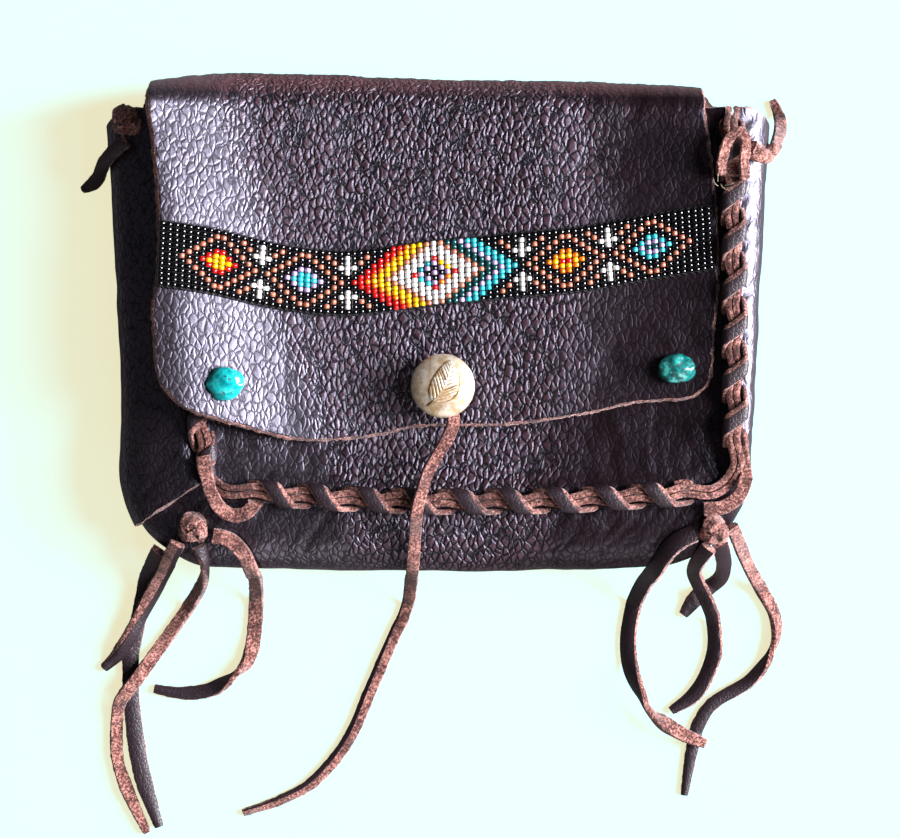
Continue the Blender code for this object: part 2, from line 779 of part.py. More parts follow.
def flap():
    bm = bmesh.new()
    columns_across, rows_down, fold_rows = 26, 15, 5
    grid = []
    left, right = side_edges(0)
    for i in range(-1, fold_rows):
        angle = math.pi / 2 * max(i, 0) / fold_rows
        row = []
        for j in range(columns_across + 1):
            u = j / columns_across
            x = left + (right - left) * u
            flare = FLAP_FOLD_FLARE * (2 * u - 1) * (1 - max(i, 0) / fold_rows)
            reach = fold_line_y(x) - HIDE / 2 - FLAP_START_Y
            low = FOLD_Z + CLEAR / 2 + FOLD_EDGE
            z = low + (flap_z(x, FLAP_START_Y) - low) * math.sin(angle) - FOLD_EDGE * (i < 0)
            row.append(bm.verts.new((x + flare, FLAP_START_Y + reach * math.cos(angle), z)))
        grid.append(row)
    for i in range(rows_down + 1):
        v = i / rows_down
        row = []
        left, right = side_edges(v)
        left += corner_inset(FLAP_CORNER_LEFT, FLAP_LEFT, v)
        right -= corner_inset(FLAP_CORNER_RIGHT, FLAP_RIGHT, v)
        for j in range(columns_across + 1):
            u = j / columns_across
            x = left + (right - left) * u
            y = FLAP_START_Y + (hem_y(x) - FLAP_START_Y) * v
            row.append(bm.verts.new((x, y, flap_z(x, y))))
        grid.append(row)
    for upper, lower in zip(grid, grid[1:]):
        for j in range(columns_across):
            bm.faces.new((upper[j], upper[j + 1], lower[j + 1], lower[j]))
    obj = object_from(bm, "flap", leather)
    thicken(obj, HIDE)
    cutter_bm = bmesh.new()
    bmesh.ops.create_cone(
        cutter_bm, cap_ends=True, segments=16, radius1=POST_RADIUS + POST_HOLE_EASE,
        radius2=POST_RADIUS + POST_HOLE_EASE, depth=HIDE * 4,
    )
    cutter = object_from(cutter_bm, "button_hole", leather)
    parts.objects.unlink(cutter)
    cutters.objects.link(cutter)
    cutter.location = (BUTTON_X, BUTTON_Y, flap_z(BUTTON_X, BUTTON_Y))
    cutter.hide_render = True
    cutter.display_type = "WIRE"
    hole = obj.modifiers.new("Button hole", "BOOLEAN")
    hole.object = cutter
    hole.operation = "DIFFERENCE"


def corner_inset(radius, edge_x, v):
    """How far a side edge is cut back by the round corner at this share of the way down."""
    hem = hem_y(edge_x)
    depth = hem + radius - (FLAP_START_Y + (hem - FLAP_START_Y) * v)
    depth = min(radius, max(0.0, depth))
    return radius - math.sqrt(radius * radius - depth * depth)


def band_centre_y(u):
    return through(BAND_LINE, u)


def bead_band():
    """One loomed strip: each column of beads is a ridge across it, with a valley on each side."""
    bm = bmesh.new()
    left = FLAP_LEFT + BAND_END_MARGIN
    right = FLAP_RIGHT - BAND_END_MARGIN
    rows = []
    for i in range(2 * BEAD_COLUMNS + 1):
        u = i / (2 * BEAD_COLUMNS)
        x = left + (right - left) * u
        y = band_centre_y(u)
        height = BAND_THICKNESS if i % 2 else BAND_VALLEY
        corners = []
        for side in (-1, 1):
            edge_y = y + side * BAND_WIDTH / 2
            low = flap_z(x, edge_y) + HIDE / 2 + CLEAR + SOFT_ROOM
            corners.append(bm.verts.new((x, edge_y, low)))
            corners.append(bm.verts.new((x, edge_y, low + height)))
        rows.append(corners)
    for a, b in zip(rows, rows[1:]):
        for p, q in ((0, 1), (1, 3), (3, 2), (2, 0)):
            bm.faces.new((a[p], a[q], b[q], b[p]))
    bm.faces.new([rows[0][k] for k in (0, 1, 3, 2)])
    bm.faces.new([rows[-1][k] for k in (2, 3, 1, 0)])
    object_from(bm, "bead_band", beads)


def turned(name, profile, finish, base):
    """A round piece from its outline, which runs down its outer side from the top to the bottom."""
    bm = bmesh.new()
    corners = [bm.verts.new((r, 0, z)) for r, z in profile]
    for a, b in zip(corners, corners[1:]):
        bm.edges.new((a, b))
    obj = object_from(bm, name, finish)
    obj.location = base
    screw = obj.modifiers.new("Turn", "SCREW")
    screw.steps = 32
    screw.render_steps = 32
    screw.use_merge_vertices = True
    screw.merge_threshold = 0.00001
    return obj


def button_and_screw():
    seat_z = flap_z(BUTTON_X, BUTTON_Y)
    under = seat_z + HIDE / 2 + BUTTON_LIFT
    dome = [
        (BUTTON_RADIUS * math.sin(a), BUTTON_RIM + BUTTON_DOME * math.cos(a))
        for a in (math.radians(d) for d in (0, 18, 36, 54, 72, 90))
    ]
    socket = POST_RADIUS + POST_HOLE_EASE
    profile = dome + [
        (BUTTON_RADIUS, 0.0004),
        (BUTTON_RADIUS - 0.0005, 0.0),
        (socket, 0.0),
        (socket, SOCKET_DEPTH),
        (0.0, SOCKET_DEPTH),
    ]
    turned("concho_button", profile, silver, (BUTTON_X, BUTTON_Y, under))
    head_top = seat_z - HIDE / 2 - CLEAR
    post_top = under + SOCKET_DEPTH - CLEAR - head_top
    profile = (
        (0.0, post_top),
        (POST_RADIUS, post_top),
        (POST_RADIUS, 0.0),
        (SCREW_HEAD_RADIUS, 0.0),
        (SCREW_HEAD_RADIUS, -SCREW_HEAD_HEIGHT * 0.5),
        (SCREW_HEAD_RADIUS * 0.8, -SCREW_HEAD_HEIGHT),
        (0.0, -SCREW_HEAD_HEIGHT),
    )
    turned("concho_screw", profile, silver, (BUTTON_X, BUTTON_Y, head_top))


def nugget(name, centre, size, phase):
    """A tumbled lump of stone with a flat underside."""
    bm = bmesh.new()
    bmesh.ops.create_icosphere(bm, subdivisions=3, radius=1.0)
    width, height, thickness = size
    floor = flap_z(*centre) + HIDE / 2 + CLEAR + SOFT_ROOM
    for vert in bm.verts:
        n = vert.co.normalized()
        bump = 1 + 0.07 * math.sin(3.1 * n.x + phase) * math.cos(2.7 * n.y - phase)
        bump += 0.05 * math.sin(5 * n.y + 4 * n.z + 2 * phase)
        z = max(n.z * bump, -2 * NUGGET_FLAT)
        vert.co = Vector((n.x * bump * width / 2, n.y * bump * height / 2, z * thickness / 2))
    obj = object_from(bm, name, turquoise)
    obj.location = (*centre, floor + NUGGET_FLAT * thickness)
    return obj


def belt_loop(name, x):
    """A strap that stands off the back in its middle, so that a belt passes under it."""
    half = LOOP_FLAT / 2
    tab_z = BACK_Z - HIDE - CLEAR
    strap_z = HIDE / 2
    section = [
        (-half - LOOP_RAMP - LOOP_TAB, tab_z),
        (-half - LOOP_RAMP, tab_z),
        (-half, strap_z),
        (half, strap_z),
        (half + LOOP_RAMP, tab_z),
        (half + LOOP_RAMP + LOOP_TAB, tab_z),
    ]
    bm = bmesh.new()
    rows = [[bm.verts.new((side * LOOP_WIDTH / 2, y, z)) for side in (-1, 1)] for y, z in section]
    for a, b in zip(rows, rows[1:]):
        bm.faces.new((a[0], a[1], b[1], b[0]))
    obj = object_from(bm, name, leather)
    obj.location = (x, LOOP_CENTRE_Y, 0)
    thicken(obj, HIDE)


def knot(name, centre):
    """A lace end knotted on itself, as a closed three-lobed turn."""
    bm = bmesh.new()
    scale = KNOT_SIZE / 12.8
    steps, sides = 36, 6
    rings = []

    def spine(t):
        swell = 3.4 + 1.7 * math.cos(3 * t)
        return Vector((swell * math.cos(2 * t), swell * math.sin(2 * t), 1.7 * math.sin(3 * t))) * scale

    for i in range(steps):
        t = 2 * math.pi * i / steps
        along = (spine(t + 0.01) - spine(t - 0.01)).normalized()
        side = along.cross(Vector((0, 0, 1))).normalized()
        lift = side.cross(along)
        rings.append(
            [
                bm.verts.new(spine(t) + (side * math.cos(a) + lift * math.sin(a)) * 1.25 * scale)
                for a in (2 * math.pi * k / sides for k in range(sides))
            ]
        )
    for i in range(steps):
        ring_a, ring_b = rings[i], rings[(i + 1) % steps]
        for k in range(sides):
            bm.faces.new((ring_a[k], ring_a[(k + 1) % sides], ring_b[(k + 1) % sides], ring_b[k]))
    obj = object_from(bm, name, lace_leather)
    obj.location = centre


def smooth_route(route, spacing):
    """Points on a smooth curve through the route, no further apart than about this."""
    anchors = [Vector(p) * 0.001 for p in route]
    points = []
    for i in range(len(anchors) - 1):
        a, b = anchors[i], anchors[i + 1]
        before = anchors[max(i - 1, 0)]
        after = anchors[min(i + 2, len(anchors) - 1)]
        count = max(1, round((b - a).length / spacing))
        for k in range(count):
            s = k / count
            bend = (b - before) / 2 * s * (1 - s) ** 2 + (after - a) / 2 * s * s * (s - 1)
            points.append(a * (1 + 2 * s) * (1 - s) ** 2 + b * s * s * (3 - 2 * s) + bend)
    return points + [anchors[-1]]


def loose_lace(name, route):
    """A free lace, as a plain tube along its route."""
    points = smooth_route(route, LACE_TUBE_RADIUS * 4)
    curve = bpy.data.curves.new(name, "CURVE")
    curve.dimensions = "3D"
    curve.bevel_depth = LACE_TUBE_RADIUS
    curve.bevel_resolution = 2
    curve.use_fill_caps = True
    line = curve.splines.new("POLY")
    line.points.add(len(points) - 1)
    for point, place in zip(line.points, points):
        point.co = (*place, 1)
    obj = bpy.data.objects.new(name, curve)
    obj.data.materials.append(lace_leather)
    parts.objects.link(obj)


clear_scene()
parts = collection("Beaded hip bag")
cutters = collection("Cutters")
leather = material("Pebbled leather", "2E2226", 0.45)
lace_leather = material("Lace leather", "5A3A36", 0.75)
silver = material("Aged silver", "C9BEA6", 0.35, 1.0)
turquoise = material("Turquoise", "1FA39B", 0.25)
beads = material("Glass seed beads", "101014", 0.15)

pouch_middle = pouch_line(HIDE / 2)
ridge = ridge_line()

body_wrap()
front_panel()
flap()
bead_band()
lacing("lacing_left", LEFT)
lacing("lacing_bottom", BASE, corner_before=LEFT_CORNER)
lacing("lacing_right", RIGHT, corner_before=RIGHT_CORNER)
button_and_screw()
for nugget_name, (nugget_centre, nugget_size, nugget_phase) in NUGGETS.items():
    nugget(nugget_name, nugget_centre, nugget_size, nugget_phase)
belt_loop("belt_loop_left", -LOOP_CENTRE_X)
belt_loop("belt_loop_right", LOOP_CENTRE_X)
for knot_name, (knot_corner, knot_way) in KNOTS.items():
    knot(knot_name, Vector((*ridge_corners()[knot_corner], SEAM_Z)) + Vector(knot_way))
for lace_name, lace_route in LACE_ROUTES.items():
    loose_lace(lace_name, lace_route)
hang_on_fold(("flap", "bead_band", "concho_button", "concho_screw", "button_thong", *NUGGETS))
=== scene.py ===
import math
import random

import bmesh
import bpy
import numpy as np
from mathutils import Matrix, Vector, noise


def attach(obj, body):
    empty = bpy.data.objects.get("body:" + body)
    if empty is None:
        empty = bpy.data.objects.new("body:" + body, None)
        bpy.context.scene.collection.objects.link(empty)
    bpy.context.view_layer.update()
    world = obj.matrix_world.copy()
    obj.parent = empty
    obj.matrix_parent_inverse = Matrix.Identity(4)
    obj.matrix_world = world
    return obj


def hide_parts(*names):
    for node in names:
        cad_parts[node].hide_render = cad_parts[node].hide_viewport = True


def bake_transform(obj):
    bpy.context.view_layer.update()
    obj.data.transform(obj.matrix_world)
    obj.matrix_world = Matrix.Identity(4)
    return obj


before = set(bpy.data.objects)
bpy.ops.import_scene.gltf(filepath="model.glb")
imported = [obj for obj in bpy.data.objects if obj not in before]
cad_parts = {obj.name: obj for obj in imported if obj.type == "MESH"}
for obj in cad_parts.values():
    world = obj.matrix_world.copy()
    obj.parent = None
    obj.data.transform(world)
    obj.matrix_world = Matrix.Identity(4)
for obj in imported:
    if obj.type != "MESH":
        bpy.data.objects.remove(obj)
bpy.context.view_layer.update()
print("frame loaded")

# Beaded leather hip bag on a pale table, seen from straight above. Lengths are metres unless a name says mm.
mm = 0.001
chance = random.Random(11)
leftSide, leftCorner, base, rightCorner, rightSide = range(5)

pouch = {
    "hide": 2.0 * mm, "clear": 0.3 * mm, "softRoom": 0.2 * mm,
    "beltSlot": 5.4 * mm,
    "mouthY": 69.5 * mm, "height": 146.5 * mm, "topWidth": 215.0 * mm, "baseWidth": 199.0 * mm,
    "baseBow": 2.5 * mm, "cornerLeft": 29.5 * mm, "cornerRight": 32 * mm,
    "wingCorner": (6 * mm, 9 * mm),  # how far down and in the wings' top corners are rounded
    "backTuck": 9 * mm, "bellyRise": 9.6 * mm, "seamRise": 18 * mm,
    "leftWingTop": 21.0 * mm, "leftWingBase": 26 * mm,
    "rightWingTop": 13.4 * mm, "rightWingBase": 4.4 * mm, "baseWing": 24.5 * mm,
    "seamCorner": 9 * mm, "seamBow": 4.5 * mm,
    "lipFillet": 1.6 * mm, "lipAboveSlit": 2.2 * mm, "lipGap": 0.4 * mm,
    "lapRise": 2.2 * mm, "lapRunUp": 30 * mm, "lapEnd": 0.35,
    # the shares by which the seam's lips are lower, round the corners and at the mouth
    "cornerLow": 0.42, "mouthLow": 0.7, "mouthRun": 7.5 * mm,
    "panelSag": 7.0 * mm,
    "curlReach": 8 * mm, "curlRise": 3.6 * mm, "curlTaperLeft": 3.5 * mm, "curlTaperRight": 11.5 * mm,
    # the fold's outermost line in mm, as (x, y): it is drawn back at its left end
    "foldLine": (
        (-94, 78.3), (-80, 81.2), (-66, 82.5), (-45, 82.4), (4, 80.6), (53, 79.6), (86, 77.9), (94, 77.4),
    ),
}
lacing = {
    "width": 5.8 * mm, "thickness": 1.4 * mm, "pitch": 15 * mm, "slitEase": 0.4 * mm, "sway": 1.3 * mm,
    "fuzz": 0.16 * mm, "fibresPerMm": 0.8, "fibre": 0.7 * mm,
    "loopWidth": 4.4 * mm, "loopStep": 1.2 * mm,  # where it turns round a corner of the ridge
}
cover = {
    "startY": 68.5 * mm, "left": -88 * mm, "right": 88.5 * mm, "hemY": -32.5 * mm,
    "cornerLeft": 13 * mm, "cornerRight": 9 * mm, "flare": 0.7 * mm, "raise": 7.5 * mm,
    # the slope at the left in mm: its middle, half width and foot from the fold (0) to the hem (1)
    "slopeMiddle": ((0.0, -74.0), (0.5, -67.0), (1.0, -62.0)), "slopeHalf": ((0.0, 12.5), (1.0, 15.0)),
    "slopeFoot": ((0.0, -50.0), (0.5, -38.0), (1.0, -20.0)),
    # soft rise and fall further right, as (x, rise) in mm
    "billow": (
        (-90, 0.0), (-47, -1.2), (-26, -3.2), (14, -2.6), (34, -1.4), (58, -2.6), (84, -1.2), (92, -0.6),
    ),
    "hemWave": (  # in mm, from the left edge (0) to the right (1)
        (0.00, 7.0), (0.08, 3.6), (0.16, -0.6), (0.23, -3.8), (0.30, -4.4), (0.39, -2.8), (0.46, 0.0),
        (0.60, 0.4), (0.67, 1.5), (0.77, 4.2), (0.85, 7.4), (0.91, 8.3), (1.00, 9.0),
    ),
    # the side edges' waves in mm, from the fold (0) to the hem (1)
    "leftWave": ((0.0, -2.5), (0.15, -0.6), (0.38, 1.0), (0.56, 0.6), (0.68, -0.7), (0.8, -0.2), (1.0, 0.8)),
    "rightWave": ((0.0, -3.4), (0.2, -0.8), (0.36, 0.5), (0.55, 1.0), (0.78, -0.3), (1.0, -1.5)),
}

# Heights at the middle of the leather
backZ = pouch["hide"] * 1.5 + pouch["beltSlot"]
bellyZ = backZ + pouch["bellyRise"]
seamZ = backZ + pouch["seamRise"]
slitLow = seamZ + pouch["lipFillet"]
slitHigh = slitLow + lacing["thickness"] + 2 * lacing["slitEase"]
lipTop = slitHigh + pouch["lipAboveSlit"]
lipOffset = (pouch["lipGap"] + pouch["hide"]) / 2
laceOffset = lipOffset + pouch["hide"] / 2 + pouch["clear"] + lacing["thickness"] / 2
laceTop = lipTop + pouch["clear"] + lacing["thickness"] / 2
foldZ = backZ + pouch["curlRise"]
coverLow = seamZ + pouch["hide"] + pouch["clear"] + pouch["softRoom"]
onHide = pouch["hide"] / 2 + pouch["clear"] + pouch["softRoom"]
coverHigh = laceTop + lacing["thickness"] / 2 + onHide + cover["raise"]


# Small helpers
def clamp(t):
    return min(1.0, max(0.0, t))


def smoothStep(t):
    t = clamp(t)
    return t * t * (3 - 2 * t)


def onCurve(a, b, slopeA, slopeB, s):  # at the share s of a smooth curve from a to b with these end slopes
    ends = a * (1 + 2 * s) * (1 - s) ** 2 + b * s * s * (3 - 2 * s)
    return ends + (slopeA * s * (1 - s) ** 2 + slopeB * s * s * (s - 1))


def through(points, t):  # the value at t on a smooth curve through (place, value) points
    for i in range(len(points) - 1):
        (t0, v0), (t1, v1) = points[i], points[i + 1]
        if t <= t1 or i == len(points) - 2:
            before, after = points[max(i - 1, 0)], points[min(i + 2, len(points) - 1)]
            slope0 = (v1 - before[1]) / (t1 - before[0])
            slope1 = (after[1] - v0) / (after[0] - t0)
            run = t1 - t0
            return onCurve(v0, v1, run * slope0, run * slope1, (t - t0) / run)


def wobble(place, size, seed=0.0):  # soft noise from about -1 to 1 with lumps of this size
    return noise.noise(Vector(place) / size + Vector((seed, seed * 1.7, -seed)))


def smoothRoute(route, spacing):  # points along a smooth curve through the route's points
    points = []
    for i in range(len(route) - 1):
        a, b = route[i], route[i + 1]
        before, after = route[max(i - 1, 0)], route[min(i + 2, len(route) - 1)]
        count = max(1, round((b - a).length / spacing))
        points += [onCurve(a, b, (b - before) / 2, (after - a) / 2, k / count) for k in range(count)]
    return points + [route[-1]]


def circle(count):  # cosine and sine of evenly spread angles
    return [(math.cos(2 * math.pi * k / count), math.sin(2 * math.pi * k / count)) for k in range(count)]


def linear(hexColour):
    channels = [int(hexColour[i:i + 2], 16) / 255 for i in (0, 2, 4)]
    return (*[c / 12.92 if c < 0.04045 else ((c + 0.055) / 1.055) ** 2.4 for c in channels], 1)


def addNode(tree, kind, inputs=None, **settings):
    node = tree.nodes.new("ShaderNode" + kind)
    for name, value in settings.items():
        setattr(node, name, value)
    for key, value in (inputs or {}).items():
        if isinstance(value, bpy.types.NodeSocket):
            tree.links.new(value, node.inputs[key])
        else:
            node.inputs[key].default_value = value
    return node


def addMath(tree, operation, *values):
    return addNode(tree, "Math", dict(enumerate(values)), operation=operation).outputs[0]


def addVector(tree, operation, *values, scale=1.0):
    inputs = {**dict(enumerate(values)), 3: scale}  # the scale is the node's last input
    made = addNode(tree, "VectorMath", inputs, operation=operation)
    return made.outputs["Value" if operation == "DOT_PRODUCT" else "Vector"]


def addRange(tree, value, fromEnds, toEnds=(0.0, 1.0), kind="LINEAR"):
    ends = zip(("From Min", "From Max", "To Min", "To Max"), (*fromEnds, *toEnds))
    return addNode(tree, "MapRange", {"Value": value, **dict(ends)}, interpolation_type=kind).outputs[0]


def addNoise(tree, place, scale, detail, roughness=0.5, output="Fac"):
    inputs = {"Vector": place, "Scale": scale, "Detail": detail, "Roughness": roughness}
    return addNode(tree, "TexNoise", inputs).outputs[output]


def addCells(tree, place, scale, randomness=1.0):  # the distance to the edge of Voronoi cells
    inputs = {"Vector": place, "Scale": scale, "Randomness": randomness}
    return addNode(tree, "TexVoronoi", inputs, feature="DISTANCE_TO_EDGE").outputs["Distance"]


def addBump(tree, height, distance, strength):
    return addNode(tree, "Bump", {"Height": height, "Distance": distance, "Strength": strength}).outputs[0]


def newMaterial(name, **shaderValues):
    made = bpy.data.materials.new(name)
    made.use_nodes = True
    shader = made.node_tree.nodes["Principled BSDF"]
    for key, value in shaderValues.items():
        shader.inputs[key.replace("_", " ")].default_value = value
    return made, made.node_tree, shader


def plug(tree, shader, **sources):
    for key, source in sources.items():
        tree.links.new(source, shader.inputs[key.replace("_", " ")])


def placeInMm(tree):
    return addVector(tree, "SCALE", addNode(tree, "TexCoord").outputs["Object"], scale=1000.0)


def addRamp(tree, factor, stops):  # stops: (place, hex colour)
    ramp = addNode(tree, "ValToRGB", {"Fac": factor})
    for element, (place, hexColour) in zip(ramp.color_ramp.elements, (stops[0], stops[-1])):
        element.position = place
        element.color = linear(hexColour)
    for place, hexColour in stops[1:-1]:
        ramp.color_ramp.elements.new(place).color = linear(hexColour)
    return ramp.outputs["Color"]


def addObject(name, data):
    obj = bpy.data.objects.new(name, data)
    bpy.context.scene.collection.objects.link(obj)
    return obj


def newShape():
    return {"verts": [], "faces": [], "finish": []}


def addPart(shape, verts, faces, finish):
    start = len(shape["verts"])
    shape["verts"].extend(tuple(v) for v in verts)
    shape["faces"].extend(tuple(start + i for i in face) for face in faces)
    shape["finish"].extend([finish] * len(faces))


def meshObject(name, shape, finishes, sharpAngle=50):
    mesh = bpy.data.meshes.new(name)
    mesh.from_pydata(shape["verts"], [], shape["faces"])
    for finish in finishes:
        mesh.materials.append(finish)
    mesh.polygons.foreach_set("material_index", shape["finish"])
    outside = bmesh.new()
    outside.from_mesh(mesh)
    bmesh.ops.recalc_face_normals(outside, faces=outside.faces)
    outside.to_mesh(mesh)
    outside.free()
    mesh.shade_smooth()
    mesh.set_sharp_from_angle(angle=math.radians(sharpAngle))
    return addObject(name, mesh)


def fit(piece, body, slotName, *nodes):  # the piece rides on its body and stands for these CAD nodes
    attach(piece, body)
    if nodes:
        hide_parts(*nodes)
    return piece


def gridFaces(rows, columns, closed=False):
    faces = []
    for i in range(rows - 1):
        for j in range(columns if closed else columns - 1):
            k = (j + 1) % columns
            faces.append((i * columns + j, i * columns + k, (i + 1) * columns + k, (i + 1) * columns + j))
    return faces


def tubeFaces(rows, columns):  # a closed tube with both its ends capped
    caps = [tuple(range(columns))[::-1], tuple((rows - 1) * columns + k for k in range(columns))]
    return gridFaces(rows, columns, closed=True) + caps


def tubeInto(shape, points, radius, finish, sides=6):
    verts = []
    last = len(points) - 1
    for i, point in enumerate(points):
        along = (points[min(i + 1, last)] - points[max(i - 1, 0)]).normalized()
        side = along.cross(Vector((0.13, 0.21, 0.97))).normalized()
        up = side.cross(along)
        verts += [point + (side * a + up * b) * radius for a, b in circle(sides)]
    addPart(shape, verts, [face[::-1] for face in tubeFaces(len(points), sides)], finish)


def fibreInto(shape, root, direction, length, finish, thickness=0.07 * mm):
    side = direction.orthogonal().normalized()
    other = direction.cross(side).normalized()
    foot = root - direction * length * 0.2
    droop = side * length * chance.uniform(-0.35, 0.35)
    back = foot - side * thickness / 2
    corners = [foot + side * thickness, back + other * thickness, back - other * thickness]
    tip = root + direction * length + droop
    addPart(shape, [*corners, tip], [(0, 1, 3), (1, 2, 3), (2, 0, 3), (2, 1, 0)], finish)


# Camera, light and table
view = {"place": (3.9 * mm, -30.2 * mm, 636 * mm), "lens": 76.2}
cameraData = bpy.data.cameras.new("camera")
cameraData.lens = view["lens"]
cameraData.sensor_width = 36
cameraObject = addObject("camera", cameraData)
cameraObject.location = view["place"]
bpy.context.scene.camera = cameraObject
bpy.context.scene.view_settings.view_transform = "Standard"

lamps = {  # name: place, width and height, watts, colour
    "window": ((1.39, 0.05, 0.56), (0.75, 0.70), 76.0, "F8F6FF"),
    "upper pane": ((1.02, 0.05, 1.08), (0.50, 0.45), 19.0, "F8F6FF"),
    "room wall": ((0.25, -1.20, 0.75), (0.90, 0.60), 5.0, "FFF6F4"),
}
for lampName, (lampPlace, (lampWidth, lampHeight), watts, lampColour) in lamps.items():
    lampData = bpy.data.lights.new(lampName, "AREA")
    lampData.shape = "ELLIPSE"
    lampData.size = lampWidth
    lampData.size_y = lampHeight
    lampData.energy = watts
    lampData.color = linear(lampColour)[:3]
    lamp = addObject(lampName, lampData)
    lamp.location = lampPlace
    lamp.rotation_euler = (-Vector(lampPlace)).to_track_quat("-Z", "Y").to_euler()

world = bpy.data.worlds.new("studio")
bpy.context.scene.world = world
world.use_nodes = True
worldTree = world.node_tree
worldTree.nodes.clear()
roomLight = addNode(worldTree, "Background", {"Color": linear("ECECF6"), "Strength": 0.07})
pageWhite = addNode(worldTree, "Background", {"Color": linear("F0FFFE"), "Strength": 1.0})
cameraOnly = addNode(worldTree, "LightPath").outputs["Is Camera Ray"]
worldMix = addNode(worldTree, "MixShader", {0: cameraOnly, 1: roomLight.outputs[0], 2: pageWhite.outputs[0]})
addNode(worldTree, "OutputWorld", {"Surface": worldMix.outputs[0]})


def tableMaterial():
    # A white laminate table: lit it reads white with a breath of cyan, in the bag's shadow it turns warm.
    made, tree, shader = newMaterial("white laminate, matt", Roughness=0.9)
    tree.nodes.remove(shader)
    matt = addNode(tree, "BsdfDiffuse", {"Color": linear("8A8784")})
    seen = addNode(tree, "BsdfDiffuse", {"Color": linear("30B6CC")})
    glow = addNode(tree, "Emission", {"Color": linear("E9E1BC"), "Strength": 1.0})
    lit = addNode(tree, "AddShader", {0: seen.outputs[0], 1: glow.outputs[0]})
    cameraShare = addNode(tree, "LightPath").outputs["Is Camera Ray"]
    mixed = addNode(tree, "MixShader", {0: cameraShare, 1: matt.outputs[0], 2: lit.outputs[0]})
    tree.links.new(mixed.outputs[0], tree.nodes["Material Output"].inputs["Surface"])
    return made


tableShape = newShape()
tableHalf = 2.5
tableCorners = [(x * tableHalf, y * tableHalf, 0) for x, y in ((-1, -1), (1, -1), (1, 1), (-1, 1))]
addPart(tableShape, tableCorners, [(0, 1, 2, 3)], 0)
table = meshObject("table", tableShape, [tableMaterial()])
print("camera, lamps and table placed")


# Materials
grain = {
    "cellAcross": 1.95, "cellAlong": 3.6,  # mm: drum-tumbled pebbles are drawn out along the hide
    "fineCell": 0.9, "pore": 0.26, "lumps": 9.0, "height": 0.42 * mm,
    "driftSize": 5.0, "drift": 2.8,  # mm: what pulls the pebbles out of line
    # where the hide is drawn tight: the way across, from where to where in mm, and how high the pebbles stay
    "tightAt": (((1.0, 0.286, 0), (-54.0, -34.0), (0.20, 1.0)), ((1.0, -0.15, 0), (12.0, 58.0), (1.0, 0.16))),
    # from 73 to 79 mm up the colour blends toward the fold colour, a lighter red-brown painted as light that
    # falls on the fold from above
    "paintedFoldLight": (73.0, 79.0), "polishedGusset": (90.0, 98.0),  # mm up and to the right
    # the crease colour is painted shade in the pebbles' creases, and the top colour paints the pebbles' tops
    # lighter
    "creaseShade": "0A0607", "low": "190C10", "top": "331A20", "fold": "623C3E",
}


